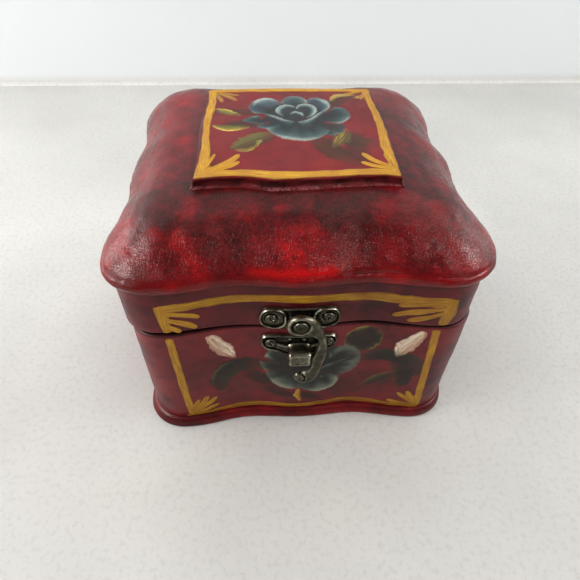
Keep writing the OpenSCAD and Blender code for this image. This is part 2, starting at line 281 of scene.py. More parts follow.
def lacquer(name, deep, mid, bright, dark, skin=0.5, coat_rough=0.14, rough=0.42, painted=False, coat=0.85, spec=0.28, bloom_and_sheen_on=False):
    """Aged red lacquer: tones by the piece's own tone attribute, which also holds painted shade and highlights on some
    pieces, and noise, dark smudges, painted decoration, fine crackle under and in the clear coat; optionally greyish
    dried places that also stand for painted reflections and glints."""
    k = Mat(name)
    cloud = k.noise(46.0, 5.0, 0.66, distort=0.8)
    fine = k.noise(230.0, 5.0, 0.7, distort=0.5)
    tone = k.attr("tone")
    mottle = k.math("ADD", k.math("MULTIPLY", k.math("SUBTRACT", cloud, 0.5), 0.42), k.math("MULTIPLY", k.math("SUBTRACT", fine, 0.5), 0.62))
    if bloom_and_sheen_on:
        grit = k.noise(820.0, 3.0, 0.65)
        mottle = k.math("ADD", mottle, k.math("MULTIPLY", k.math("SUBTRACT", grit, 0.5), 0.55))
        mottle = k.math("MULTIPLY", mottle, k.attr("skin"))
    t = k.math("ADD", tone, mottle, clamp=True)
    base = k.ramp(t, [(0.0, dark), (0.22, deep), (0.52, mid), (0.95, bright)])
    cr = crackle(k)
    base = k.mix(k.math("MULTIPLY", k.math("SUBTRACT", 1.0, cr), 0.40 * skin), base, [c * 0.35 for c in deep])
    speck = k.ramp(k.noise(900.0, 2.0, 0.5), [(0.30, 1.0), (0.36, 0.0)])
    base = k.mix(k.math("MULTIPLY", speck, 0.35), base, dark)
    if painted:
        paint = k.node("ShaderNodeAttribute", attribute_name="paint")
        grain = k.ramp(k.noise(420.0, 3.0, 0.6), [(0.25, 0.85), (0.6, 1.0)])
        base = k.mix(k.math("MULTIPLY", paint.outputs["Alpha"], grain), base, paint.outputs["Color"])
    wrinkle = k.noise(640.0, 4.0, 0.6, distort=0.4)
    if bloom_and_sheen_on:
        bloom_and_sheen = k.attr("bloom_and_sheen")
        # a greyish veil and pale flecks on the dried places: partly dried lacquer, partly painted reflection sheen and
        # painted glints
        fleck = k.ramp(k.noise(2100.0, 3.0, 0.65), [(0.42, 0.0), (0.62, 1.0)])
        vein = k.ramp(k.noise(1000.0, 4.0, 0.7, distort=1.0), [(0.38, 0.0), (0.60, 1.0)])
        veil = k.math("MULTIPLY", bloom_and_sheen, k.math("ADD", k.math("MULTIPLY", vein, 0.46), 0.08))
        base = k.mix(k.math("MULTIPLY", veil, k.math("ADD", k.math("MULTIPLY", cr, 0.5), 0.5)), base, lin("75504C"))
        base = k.mix(k.math("MULTIPLY", k.math("MULTIPLY", bloom_and_sheen, bloom_and_sheen), k.math("MULTIPLY", fleck, k.math("ADD", k.math("MULTIPLY", vein, 0.45), 0.08))), base, lin("A88480"))
        live = k.attr("skin")
        cr = k.math("MULTIPLY", cr, live)
        wrinkle = k.math("MULTIPLY", wrinkle, k.math("MULTIPLY", live, k.math("ADD", k.math("MULTIPLY", bloom_and_sheen, 0.9), 0.75)))
    broad = k.noise(85.0, 3.0, 0.5)
    n1 = k.bump(cr, 0.45 * skin, 0.00016)
    n2 = k.bump(wrinkle, 0.42 * skin, 0.00022, n1)
    n3 = k.bump(broad, 0.30, 0.0005, n2)
    nc = k.bump(broad, 0.22, 0.0005, k.bump(cr, 0.50 * skin, 0.00011, k.bump(wrinkle, 0.24 * skin, 0.00016)))
    k.set(color=base, rough=k.ramp(cloud, [(0.3, rough), (0.7, rough + 0.12)]), spec=spec, normal=n3,
          coat=coat, coat_rough=coat_rough, coat_ior=1.5, coat_normal=nc)
    return k.m


def yellow():
    """Ochre-yellow brush paint: bristle streaks along the stroke, thin places where the red shows, painted shade along
    the stroke's raised edges.
    """
    k = Mat("yellow_paint")
    st = k.node("ShaderNodeSeparateXYZ", {0: k.attr("stroke", "Vector")})
    vec = k.node("ShaderNodeCombineXYZ", {0: k.math("MULTIPLY", st.outputs[0], 0.055), 1: k.math("MULTIPLY", st.outputs[1], 3.4),
                                          2: st.outputs[2]}).outputs[0]
    streak = k.noise(2.2, 4.0, 0.6, vec)
    patch = k.noise(150.0, 3.0, 0.6)
    col = k.ramp(streak, [(0.32, lin("6E3F0E")), (0.42, lin("AC761A")), (0.54, lin("CA9A24")), (0.72, lin("E8C246"))])
    col = k.mix(k.ramp(patch, [(0.42, 0.0), (0.62, 0.45)]), col, lin("A8742A"))
    # darker brown towards the stroke's edges: painted shade of the paint's raised rim
    col = k.mix(k.math("MULTIPLY", k.ramp(k.attr("side"), [(0.74, 0.0), (0.98, 1.0)]), 0.6), col, lin("5A3214"))
    thin = k.attr("thin")
    wear = k.math("MULTIPLY", thin, k.ramp(streak, [(0.38, 1.0), (0.62, 0.25)]))
    col = k.mix(wear, col, lin("6A3A22"))
    n = k.bump(streak, 1.0, 0.00035)
    n = k.bump(k.noise(520.0, 4.0, 0.6), 0.4, 0.0002, n)
    k.set(color=col, rough=0.42, normal=n, spec=0.25, coat=0.25, coat_rough=0.25, coat_normal=n)
    return k.m


def antique(name, dark, mid, bright, rough=0.36):
    """Cast antiqued metal: nearly black in the hollows, rubbed bright on the ridges."""
    k = Mat(name)
    wear = k.attr("wear")
    n = k.noise(330.0, 4.0, 0.6)
    w = k.math("ADD", wear, k.math("MULTIPLY", k.math("SUBTRACT", n, 0.5), 0.55), clamp=True)
    col = k.ramp(w, [(0.12, dark), (0.45, mid), (0.85, bright)])
    stain = k.ramp(k.noise(170.0, 3.0, 0.55), [(0.45, 0.0), (0.7, 0.5)])
    col = k.mix(stain, col, lin("3A3628"))
    nb = k.bump(k.noise(900.0, 4.0, 0.65), 0.45, 0.00012)
    nb = k.bump(k.noise(260.0, 2.0, 0.5), 0.3, 0.0003, nb)
    r = k.ramp(w, [(0.1, rough + 0.22), (0.7, rough - 0.06)])
    k.set(color=col, metal=1.0, rough=r, normal=nb, spec=0.5)
    return k.m


def felt():
    k = Mat("lining_felt")
    c = k.ramp(k.noise(700.0, 4.0, 0.7), [(0.3, lin("3A0A10")), (0.7, lin("5C1219"))])
    c = k.mix(k.ramp(k.noise(28.0, 3.0, 0.5), [(0.4, 0.0), (0.7, 0.4)]), c, lin("2E070C"))
    fibre = k.noise(1900.0, 5.0, 0.75, distort=0.8)
    n = k.bump(fibre, 0.9, 0.0004)
    k.set(color=c, rough=0.95, normal=n, spec=0.15, sheen=0.35, sheen_rough=0.45, sheen_tint=lin("9A3A40"))
    return k.m


DARK, DEEP, MID, BRIGHT = lin("2A0D0A"), lin("520B0E"), lin("7A1014"), lin("B41013")
M_BASE = lacquer("maroon_lacquer", lin("54181D"), lin("742226"), lin("8A2628"), lin("2E1010"), skin=0.24, coat_rough=0.26, rough=0.5, painted=True, coat=0.45, spec=0.2)
M_BAND = lacquer("maroon_lacquer_lid", lin("50161B"), lin("6A1D22"), lin("822124"), lin("2C1010"), skin=0.24, coat_rough=0.24, rough=0.5, coat=0.43, spec=0.18)
M_EDGE = lacquer("edge_red_lacquer", lin("480D10"), lin("6E1014"), lin("9C1016"), lin("260B0A"), skin=0.35, coat_rough=0.2, coat=0.4, spec=0.15)
M_DOME = lacquer("crackled_red_lacquer", DEEP, MID, BRIGHT, DARK, skin=1.0, coat_rough=0.085, coat=0.60, spec=0.08, rough=0.48, bloom_and_sheen_on=True)
M_PANEL = lacquer("painted_panel", lin("5C171A"), lin("6F1E21"), lin("822220"), lin("2C0B0C"), skin=0.25, coat_rough=0.22, painted=True, coat=0.42, spec=0.10)
M_YELLOW = yellow()
M_METAL = antique("antique_metal", lin("1B1914"), lin("676457"), lin("CAC6B4"))
M_HINGE = antique("hinge_metal", lin("2A2216"), lin("6B5A3A"), lin("B09A66"), rough=0.4)
M_FELT = felt()


# ---- brush painting on a dense grid -------------------------------------------------------------

class Canvas:
    """Colour and cover per vertex. p are the vertices' places on the painted face, in millimetres."""

    def __init__(self, p, where):
        self.p, self.where = p, where
        self.c = np.zeros((len(p), 3))
        self.a = np.zeros(len(p))

    def lay(self, sel, colour, alpha):
        a0, c0 = self.a[sel], self.c[sel]
        out = alpha + a0 * (1 - alpha)
        self.c[sel] = np.where(out[:, None] > 1e-6, (colour * alpha[:, None] + c0 * (a0 * (1 - alpha))[:, None]) / np.maximum(out, 1e-6)[:, None], c0)
        self.a[sel] = out

    def box(self, q, pad):
        lo, hi = q.min(0) - pad, q.max(0) + pad
        return np.where(self.where & (self.p > lo).all(1) & (self.p < hi).all(1))[0]

    def brush(self, pts, half, cols, soft=0.35, fade=(1.0, 1.0), dry=0.25, seed=1, strength=1.0):
        """A stroke along pts. half is the half width at each point, cols [(across from -1 on the left to 1, colour)]."""
        q = catmull(pts, 10)
        h = np.interp(np.linspace(0, 1, len(q)), np.linspace(0, 1, len(half)), half)
        sel = self.box(q, max(half) + soft + 0.5)
        if not len(sel):
            return
        p = self.p[sel]
        a, d = q[:-1], np.diff(q, axis=0)
        best = np.full(len(p), 1e9)
        s, side = np.zeros(len(p)), np.zeros(len(p))
        for i in range(len(a)):
            r = p - a[i]
            t = np.clip((r @ d[i]) / (d[i] @ d[i]), 0, 1)
            g = r - t[:, None] * d[i]
            l2 = (g ** 2).sum(1)
            hit = l2 < best
            best = np.where(hit, l2, best)
            s = np.where(hit, (i + t) / len(a), s)
            side = np.where(hit, np.sign(d[i][0] * r[:, 1] - d[i][1] * r[:, 0]), side)
        dist = np.sqrt(best)
        w = np.interp(s, np.linspace(0, 1, len(h)), h) * (1 + 0.07 * wobble(p, 3.0, seed))
        u = -side * dist / np.maximum(w, 0.05)
        cover = smooth(w - dist, -soft * 0.5, soft)
        length = np.linalg.norm(d, axis=1).sum()
        bristle = 0.5 + 0.25 * wobble(np.column_stack([u * 9, s * length * 0.10]), 2.4, seed + 50) \
            + 0.25 * wobble(np.column_stack([u * 22, s * length * 0.16]), 2.4, seed + 90)
        ends = (fade[0] + (1 - fade[0]) * smooth(s, 0, 0.35)) * (fade[1] + (1 - fade[1]) * smooth(1 - s, 0, 0.35))
        alpha = cover * ends * np.clip(1 - dry * (1.6 - 1.6 * bristle), 0.05, 1) * strength
        x = np.array([c[0] for c in cols])
        uu = u + 0.22 * (bristle - 0.5)
        col = np.column_stack([np.interp(uu, x, [c[1][i] for c in cols]) for i in range(3)])
        col *= (0.86 + 0.28 * np.clip(bristle, 0, 1))[:, None]
        self.lay(sel, col, np.clip(alpha, 0, 1))

    def petal(self, heart, edge, cols, rim=1.0, soft=0.3, ends=0.16, dry=0.05, seed=1, strength=1.0, closed=False, root=0.0):
        """A loaded-brush petal: pale along its outer edge and darker towards its heart.
        cols [(depth in rims below the edge, colour, cover)]."""
        e = catmull(edge + ([edge[0]] if closed else []), 12)
        hx = np.asarray(heart, float)
        r = e - hx
        th = np.unwrap(np.arctan2(r[:, 1], r[:, 0]))
        if th[-1] < th[0]:
            th, r = th[::-1], r[::-1]
        R = np.hypot(r[:, 0], r[:, 1])
        keep = np.r_[True, np.diff(np.maximum.accumulate(th)) > 1e-6]
        th, R = np.maximum.accumulate(th)[keep], R[keep]
        sel = self.box(np.vstack([e, hx[None]]), 1.0)
        if not len(sel):
            return
        p = self.p[sel]
        g = p - hx
        mid = 0.5 * (th[0] + th[-1])
        a = mid + (np.arctan2(g[:, 1], g[:, 0]) - mid + np.pi) % (2 * np.pi) - np.pi
        rr = np.hypot(g[:, 0], g[:, 1])
        Ra = np.interp(a, th, R) + 0.12 * wobble(p, 2.6, seed)
        depth = Ra - rr
        span = max(th[-1] - th[0], 1e-3)
        inside = np.ones(len(p)) if closed else smooth(a, th[0], th[0] + ends * span) * smooth(-a, -th[-1], -th[-1] + ends * span)
        v = 0.5 + 0.3 * wobble(np.column_stack([depth * 2.4, a * 3.0]), 2.6, seed + 7) + 0.2 * wobble(np.column_stack([depth * 6, a * 5.0]), 2.6, seed + 17)
        rimv = rim * (0.75 + 0.5 * np.clip(0.5 + 0.5 * wobble(np.column_stack([a * 6, a * 0]), 3.0, seed + 3), 0, 1))
        x = np.array([c[0] for c in cols])
        g = np.clip(0.72 + 0.55 * wobble(np.column_stack([a * 5, a * 0]), 4.0, seed + 31), 0.1, 1.0)
        dd = depth / rimv + 0.7 * (v - 0.5) + 1.6 * (1 - g)
        col = np.column_stack([np.interp(dd, x, [c[1][i] for c in cols]) for i in range(3)])
        cov = np.interp(depth / rimv, x, [c[2] for c in cols])
        col *= (0.86 + 0.28 * np.clip(v, 0, 1))[:, None]
        alpha = smooth(depth, -soft * 0.5, soft) * inside * cov * np.clip(1 - dry * (1.6 - 1.6 * v), 0.05, 1) * strength
        if root:
            alpha *= smooth(rr, 0, root)
        self.lay(sel, col, np.clip(alpha, 0, 1))

    def rgba(self):
        return np.column_stack([self.c, self.a])


# ---- walls --------------------------------------------------------------------------------------

COUNTS = (230, 56, 56, 56)
LID_COUNTS = (140, 70, 70, 70)


def dent(p, seed):
    """How far the hand-worked surface lies under its true shape, never above it."""
    return 0.10 + 0.07 * wobble(p, 26.0, seed) + 0.03 * wobble(p, 8.0, seed + 1)


def square_of(p, a):
    """The points of a ring pushed out to a square of half width a."""
    return p * (a / np.abs(p).max(1))[:, None]


def inset(p, d):
    """A closed ring moved inwards by d along its normals."""
    t = np.roll(p, -1, 0) - np.roll(p, 1, 0)
    t /= np.linalg.norm(t, axis=1)[:, None]
    return p + d * np.column_stack([-t[:, 1], t[:, 0]])


def wall_rings(z0, z1, rows, counts, seed, drop=None, shade=0.0):
    out = ring(WALL_A, WALL_R, counts=counts)
    rings = []
    for z in np.linspace(z0, z1 - 0.9, rows):
        d = dent(lift(out, z), seed)
        rings.append(np.column_stack([inset(out, 1) * 0 + out + (inset(out, 1) - out) * d[:, None], np.full(len(out), z)]))
    for t in (25, 50, 75, 90):
        d = dent(lift(out, z1 - 0.9), seed) + 0.9 * (1 - math.cos(math.radians(t)))
        rings.append(np.column_stack([out + (inset(out, 1) - out) * d[:, None], np.full(len(out), z1 - 0.9 + 0.9 * math.sin(math.radians(t)))]))
    inner = square_of(out, INNER_A)
    for e, z in ((0.5, z1), (0.15, z1 - 0.15), (0.0, z1 - 0.5)):
        rings.append(lift(inner * (1 + e / INNER_A), z))
    rings.append(lift(inner, 0.5 * (z0 + z1)))
    rings.append(lift(inner, z0))
    return rings


def tone_of(v, blobs, base, seed):
    """Light and dark places: base, soft noise and listed blobs (x, y, z, radius, amount)."""
    t = np.full(len(v), base) + 0.07 * wobble(v, 24.0, seed) + 0.05 * wobble(v, 9.0, seed + 5)
    for x, y, z, r, s in blobs:
        d2 = ((v - np.array([x, y, z])) ** 2).sum(1)
        t += s * np.exp(-d2 / (r * r)) * (1 + 0.35 * wobble(v, r * 0.5, seed + int(abs(x) + r)))
    return t


# body shell
rings = wall_rings(BOARD_H, RIM_Z, 136, COUNTS, 3)
v, f = loft(rings, torus=True)
base = make("base_shell", v, f, M_BASE, 40)
# the front corners darker, painted shade where the walls turn away from the light; the front also darker towards the
# bottom
attr(base, "tone", tone_of(v, [(-66, -56, 52, 17, -0.20), (-66, -56, 22, 19, -0.22), (66, -55, 52, 18, -0.26), (66, -55, 24, 20, -0.26), (0, -64, 10, 24, -0.10), (0, -64, 58, 22, 0.05),
                               (-30, -63, 25, 14, 0.08), (34, -63, 20, 12, 0.06)], 0.50, 11))
front = (v[:, 1] < -60) & (np.abs(v[:, 0]) < 60)
cv = Canvas(v[:, [0, 2]], front)

TEAL_D, TEAL, TEAL_L, PALE = lin("191F1B"), lin("25302A"), lin("485A4E"), lin("A2A68E")
LEAF_D, LEAF, OLIVE, LIME = lin("191F17"), lin("2B331F"), lin("6C6834"), lin("9A944C")
BROWN = lin("2C1812")
ROOT = [(0, PALE, 0.90), (0.6, lin("828A78"), 0.95), (1.3, lin("5C6A5E"), 0.97), (2.2, lin("3E4C44"), 0.98), (3.4, TEAL, 0.98), (5.0, TEAL_D, 0.98), (9.0, TEAL_D, 0.92)]

# dark ground and leaves behind the flower
cv.brush([(-42, 31), (-28, 28), (-14, 24)], [5.0, 9.0, 8.0], [(-1, BROWN), (1, LEAF_D)], soft=6.0, fade=(0.2, 0.8), seed=19, strength=0.42, dry=0.05)
cv.brush([(16, 22), (31, 23), (46, 27)], [7.0, 9.5, 5.0], [(-1, LEAF_D), (1, BROWN)], soft=6.0, fade=(0.8, 0.2), seed=20, strength=0.45, dry=0.05)
cv.brush([(-13, 37), (-22, 39), (-30, 36.5), (-34.4, 30), (-34.6, 23.5)], [2.6, 4.4, 5.0, 4.4, 2.6], [(-1, LEAF), (0.2, LEAF_D), (1, LEAF_D)], soft=0.9, fade=(0.5, 0.8), seed=21, dry=0.08)
cv.brush([(-37.6, 27.0), (-36.6, 33), (-32.8, 38.8), (-27.2, 41.4)], [0.5, 0.9, 0.8, 0.3], [(-1, OLIVE), (1, LEAF)], soft=0.6, fade=(0.4, 0.0), seed=22, dry=0.4, strength=0.9)
cv.brush([(-24, 35), (-18, 28.5), (-12.5, 23.5)], [3.4, 4.0, 2.0], [(-1, LEAF_D), (1, BROWN)], soft=1.0, fade=(0.3, 0.4), seed=23, strength=0.9, dry=0.1)
cv.brush([(-20, 24), (-10, 17), (2, 14), (12, 11)], [1.5, 2.8, 2.8, 1.2], [(-1, BROWN), (1, LEAF_D)], soft=1.4, fade=(0.2, 0.1), seed=24, strength=0.85, dry=0.1)
cv.petal((22.5, 51.5), [(16.0, 50.5), (16.9, 56.2), (21.0, 59.8), (26.4, 60.2), (30.6, 56.4), (30.6, 50.2), (27.6, 46.0), (22.4, 45.2), (17.8, 46.6)],
         [(0, LIME, 0.85), (0.7, OLIVE, 0.92), (1.7, LEAF, 0.97), (3.6, LEAF_D, 0.98)], rim=0.9, soft=0.5, closed=True, seed=25)
cv.brush([(22, 38), (29, 42.2), (37, 42.8), (44.5, 39.5), (48.6, 32.5)], [1.8, 3.6, 4.2, 4.6, 2.4], [(-1, LEAF), (0.1, LEAF_D), (1, LEAF_D)], soft=0.9, fade=(0.4, 0.7), seed=26, dry=0.08)
cv.brush([(37.5, 40), (42.5, 33), (43.8, 25), (43, 21)], [2.2, 4.8, 3.2, 1.0], [(-1, LEAF_D), (0.4, LEAF_D), (1, LEAF)], soft=0.9, fade=(0.5, 0.5), seed=27, dry=0.08)
cv.brush([(26.6, 19.6), (32.6, 25.6), (39.6, 31.8)], [0.9, 2.6, 1.2], [(-1, OLIVE), (-0.3, LEAF), (1, LEAF_D)], soft=0.6, fade=(0.5, 0.5), seed=28, strength=0.95, dry=0.15)
cv.brush([(39.0, 31.4), (37.6, 25.0), (32, 20.4)], [0.6, 1.5, 0.5], [(-1, LEAF_D), (1, LEAF)], soft=0.6, fade=(0.2, 0.0), seed=29, strength=0.7)
# pale buds at the upper corners
CREAM, CREAM_L = lin("C09880"), lin("F2E2CA")
cv.brush([(-27.2, 43.4), (-31.2, 49.0), (-35.2, 57.0)], [0.3, 4.1, 2.4], [(-1, CREAM), (-0.2, lin("DCC0A2")), (0.5, CREAM_L), (1, lin("E4CBB0"))], soft=0.3, fade=(0.25, 1.0), dry=0.3, seed=31)
cv.brush([(38.6, 43.0), (40.8, 49.6), (45.0, 57.4)], [0.8, 4.2, 2.3], [(-1, lin("E8D2B8")), (-0.4, CREAM_L), (0.3, lin("DCC0A2")), (1, CREAM)], soft=0.3, fade=(0.3, 1.0), dry=0.3, seed=32)
# flower body and petals
cv.petal((2, 38), [(-15, 38), (-12, 48), (-3, 53), (7, 52), (16, 47), (20, 38), (16, 28), (6, 22), (-5, 22), (-13, 28)],
         [(0, TEAL, 0.85), (2.0, TEAL, 0.97), (5.0, TEAL_D, 0.98)], rim=1.2, soft=1.6, closed=True, seed=33)
cv.petal((-8.0, 38.0), [(-16.2, 42.5), (-13.4, 47.6), (-8.6, 50.0), (-3.6, 49.0)], ROOT, rim=1.3, seed=39)
cv.petal((-3, 36), [(-17.8, 41.0), (-17.0, 36.6), (-15.4, 33.4)], ROOT, rim=1.4, seed=41, ends=0.2)
cv.petal((-3, 34.5), [(-15.9, 34.6), (-14.6, 29.4), (-11.6, 24.0), (-6.6, 20.4), (0.0, 20.2)], ROOT, rim=1.9, seed=34)
cv.petal((4, 36), [(-3.0, 23.6), (1.2, 19.2), (7.0, 17.2), (12.6, 18.8), (15.6, 23.2), (16.2, 28.6)], ROOT, rim=2.1, seed=35)
cv.petal((9, 37), [(10.6, 45.6), (14.4, 48.8), (19.8, 48.6), (23.4, 43.6), (24.0, 37.0), (21.6, 31.6), (16.0, 27.6)], [(0, lin("5E6A60"), 0.85)] + [(d + 0.3, c, q) for d, c, q in ROOT[2:]], rim=2.1, seed=36)
cv.petal((11, 26), [(3.2, 33.2), (8.0, 35.4), (14.0, 38.4), (20.8, 41.4)], [(0, lin("7E9486"), 0.95), (0.5, TEAL_L, 0.9), (1.6, TEAL, 0.9), (4, TEAL_D, 0.7), (8, TEAL_D, 0.1)], rim=1.1, seed=37, ends=0.1)
cv.petal((6.5, 26), [(-3.2, 29.6), (1.6, 31.2), (6.2, 30.4), (10.6, 27.6)], [(0, lin("74897E"), 0.8), (0.6, TEAL_L, 0.8), (1.8, TEAL, 0.8), (5, TEAL_D, 0.3)], rim=1.0, seed=42, ends=0.15)
cv.petal((9.0, 37.6), [(6.4, 44.2), (8.2, 46.8), (10.8, 45.8), (11.8, 41.6)], [(0, PALE, 0.95), (1.0, TEAL_L, 0.9), (2.4, TEAL, 0.7), (4, TEAL_D, 0.2)], rim=1.1, seed=38)
cv.brush([(-13.8, 28.4), (-11.0, 24.2), (-7.0, 21.8)], [0.4, 1.0, 0.4], [(-1, PALE), (1, TEAL_L)], soft=0.5, fade=(0.2, 0.2), seed=43, dry=0.6, strength=0.8)
cv.brush([(1.8, 19.9), (7.0, 18.6), (12.0, 20.0)], [0.4, 1.1, 0.4], [(-1, TEAL_L), (1, PALE)], soft=0.5, fade=(0.2, 0.2), seed=44, dry=0.6, strength=0.9)
# yellow bud under the flower
cv.brush([(-0.9, 18.8), (-1.4, 15.0), (-0.2, 10.8)], [1.2, 1.9, 0.8], [(-1, BROWN), (-0.1, lin("B07C2C")), (1, lin("D0A048"))], soft=0.35, seed=40, dry=0.15)
cv.brush([(0.8, 17.6), (4.0, 14.6), (9.0, 12.0)], [0.8, 2.2, 1.0], [(-1, BROWN), (1, LEAF_D)], soft=1.0, fade=(0.4, 0.1), seed=45, strength=0.8)
attr(base, "paint", cv.rgba())
# the rounded top of the wall darkened, painted shade in the seam under the lid
rim_seam_shade = smooth(v[:, 2], 61.0, 61.9)
tn = np.zeros(len(v), np.float32)
base.data.attributes["tone"].data.foreach_get("value", tn)
base.data.attributes["tone"].data.foreach_set("value", (tn * (1 - 0.9 * rim_seam_shade)).astype(np.float32))
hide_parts("front_wall", "back_wall", "left_wall", "right_wall")
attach(base, "base")

# plinth: a rounded board, brighter red along its outer edge and most along the lower front edge
a0, e0, r0 = 68.8, 1.8, 17.4
prof = [(a0 - e0 + e0 * math.sin(t), e0 - e0 * math.cos(t)) for t in np.radians(np.arange(0, 91, 9))] + \
       [(a0 - e0 + e0 * math.cos(t), 5.0 - e0 + e0 * math.sin(t)) for t in np.radians(np.arange(0, 91, 9))]
rings = []
for q, z in prof:
    rg = ring(q, r0 - (a0 - q), counts=(110, 90, 90, 90), m=14)
    p3 = lift(rg, z)
    d = (0.10 + 0.08 * wobble(p3, 17.0, 8) + 0.03 * wobble(p3, 6.0, 9)) * min(1.0, z / 1.5 + 0.2)
    spread = max(0.0, 1 - z / 4.6) * (1.0 * smooth(-rg[:, 1], 40, 62) + 0.7 * smooth(-rg[:, 0] - rg[:, 1], 84, 108))
    rings.append(np.column_stack([rg * (1 - (d - spread) / 68.8)[:, None], np.full(len(rg), z)]))
rings.append(lift(rings[-1][:, :2] * 0.90, 5.0))
v, f = loft(rings, caps=(True, True))
plinth = make("plinth", v, f, M_EDGE, 40)
out_edge = smooth(np.hypot(v[:, 0], v[:, 1]), 60, 72) * smooth(-v[:, 1], 20, 60)
low_edge = smooth(-v[:, 2], -3.4, -1.6)
attr(plinth, "tone", tone_of(v, [(-64, -64, 3, 20, -0.10)], 0.22, 12) + out_edge * (0.10 + 0.30 * low_edge * smooth(70 - np.abs(v[:, 0] - 8), 14, 44)))
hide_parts("bottom_board")
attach(plinth, "base")

# lid band: the same outline, moved with the lid, with a slightly uneven lower edge
rings = wall_rings(0.0, LIP_Z - LID_Z, 34, LID_COUNTS, 17)
v, f = loft(rings, torus=True)
v[:, 2] = LID_Z + (LIP_Z - LID_Z) - v[:, 2]          # rounded edge downwards
f = [q[::-1] for q in f]
left_gap = 0.75 * smooth(-v[:, 0], 28, 52) * smooth(-v[:, 1], 20, 58)
sag = (0.30 + 0.10 * wobble(v[:, :2], 30.0, 41) + left_gap)
v[:, 2] += np.clip(sag, 0.0, 1.1) * np.clip((LIP_Z - v[:, 2]) / (LIP_Z - LID_Z), 0, 1)
v[:, 0] += LID_X
band = make("lid_band", v, f, M_BAND, 40)
low = v[:, 2] - (LID_Z + np.clip(sag, 0.0, 1.1))
# darker on the band's rounded lower edge, painted shade in the seam; the blobs darken it under the lip's front and at
# the front corners, also painted shade
attr(band, "tone", (1 - 0.9 * (1 - smooth(low, 0.1, 0.9))) * tone_of(v, [(0, -64, 84, 30, -0.12), (-64, -58, 72, 18, -0.12), (64, -56, 72, 20, -0.22), (34, -62, 80, 20, -0.10), (20, -63, 64, 26, -0.06)], 0.47, 13))
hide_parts("lid_front_rail", "lid_back_rail", "lid_left_rail", "lid_right_rail")
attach(band, "lid")


# ---- dome ---------------------------------------------------------------------------------------

DC = (150, 120, 120, 120)
lip2 = ring(LIP_A, LIP_CR, 3.35, 0.29, 0.42, DC, 16)
top2 = ring(45.5, 7.2, 1.4, 0.29, 0.42, DC, 16)
lz, rise = LIP_Z + LIP_R, DOME_H - LIP_R
prof = np.array([[1, 0], [.985, .08], [.95, .165], [.86, .32], [.75, .47], [.645, .595], [.515, .75], [.36, .865], [.18, .94], [0, .97]])
prof = catmull(np.vstack([prof, [[-0.12, 0.985]]]), 8)
rings = []
for t in np.radians(np.arange(90, 0, -9)):
    rings.append(lift(lip2 * (1 - (1 - math.cos(t)) * LIP_R / LIP_A), lz - LIP_R * math.sin(t)))
for w, h in prof[:-9]:
    rings.append(lift(top2 + (lip2 - top2) * w, lz + rise * h))
for s, h in ((0.985, 0.977), (0.96, 0.985), (0.93, 0.992), (0.90, 0.997), (0.88, 1.0), (0.80, 1.0)):
    rings.append(lift(top2 * s, lz + rise * h))
v, f = loft(rings, caps=(True, True))
lo_edge = smooth(v[:, 2], 85.3, 88.0)
hi_edge = smooth(-v[:, 2], -105.2, -102.0)
body = make("tmp", v, f, M_DOME)
nr = np.zeros(len(v) * 3)
body.data.vertices.foreach_get("normal", nr)
nr = nr.reshape(-1, 3)
bpy.data.objects.remove(body)
lump = 0.30 + 0.28 * np.exp(-((v[:, 2] - 90.9) / 0.8) ** 2) * (1 + 0.5 * wobble(v, 30.0, 65)) + 0.20 * wobble(v, 24.0, 61) + 0.12 * wobble(v, 11.0, 62) + 0.05 * wobble(v, 4.5, 63) + 0.022 * wobble(v, 2.0, 64)
v = v - nr * (np.clip(lump, 0.0, 1.2) * lo_edge * hi_edge)[:, None]
tone_at = v.copy()
v[:, 0] += LID_X
dome = make("dome", v, f, M_DOME, 60)
# lighter and darker places; the lighter ones at (13, -65, 93) and (43, -50, 104) are painted highlights, at the right
# end of the lip and on the right slope
blobs = [
    (0, -62, 97, 6.5, 0.12), (4, -57, 101, 4, 0.06), (2, -69, 88, 9, 0.06), (28, -67, 91, 8, 0.08), (60, -66, 90, 8, 0.16), (-40, -67, 90, 9, 0.08), (-68, -58, 90, 8, 0.22), (69, -50, 90, 9, 0.12),
    (-48, -56, 102, 3.5, 0.28), (-41, -58, 101, 4, 0.26), (-38, -49, 104, 4, 0.16), (-7, -47, 105, 3.5, 0.22), (-1, -55, 102, 4.0, 0.24),
    (-7, -61, 98, 4, 0.10), (30, -60, 99, 5, 0.12), (48, -52, 103, 5, 0.10), (-62, -40, 96, 7, 0.12), (26, -50, 104, 5, 0.10),
    (3, -44, 105, 9, -0.16), (10, -47, 105, 6, -0.10), (-29, -43, 105, 7, -0.12), (46, -31, 105, 10, -0.14), (-30, -52, 104, 7, -0.06),
    (13, -54, 102, 6, 0.05), (13, -65, 93, 3.5, 0.14), (43, -50, 104, 7, 0.12), (-24, -61, 97, 6, -0.05), (-46, -20, 104, 9, -0.10), (44, 10, 104, 10, -0.12),
    (-60, 0, 97, 20, 0.08), (-60, -24, 97, 10, 0.06), (58, 0, 97, 24, -0.02), (45, -59, 101, 7, 0.10), (52, -66, 95, 6, 0.08), (7, -62, 96, 5, 0.08), (0, 56, 97, 24, -0.04), (-58, 50, 92, 14, 0.12), (60, 52, 92, 12, 0.10),
    (-20, 64, 94, 6, 0.22), (14, 60, 98, 5, 0.24), (30, 52, 103, 6, -0.16), (-36, 50, 104, 7, -0.14), (66, 22, 92, 6, 0.18), (-66, 26, 92, 6, 0.20),
]
tone = tone_of(tone_at, blobs, 0.38, 14)
# painted shade: darker on the upper front slope below the panel's front
tone -= 0.15 * smooth(tone_at[:, 2], 96.0, 103.5) * smooth(-tone_at[:, 1], 15, 40)
# lighter on the lip's bead: partly worn smooth, partly a painted highlight where the rounded lip catches light
tone += 0.07 * smooth(-tone_at[:, 2], -92.5, -87.5)
# painted shade: darker round the base of the raised panel
tone -= 0.10 * smooth(-np.abs(tone_at[:, :2]).max(1), -43, -38.5)
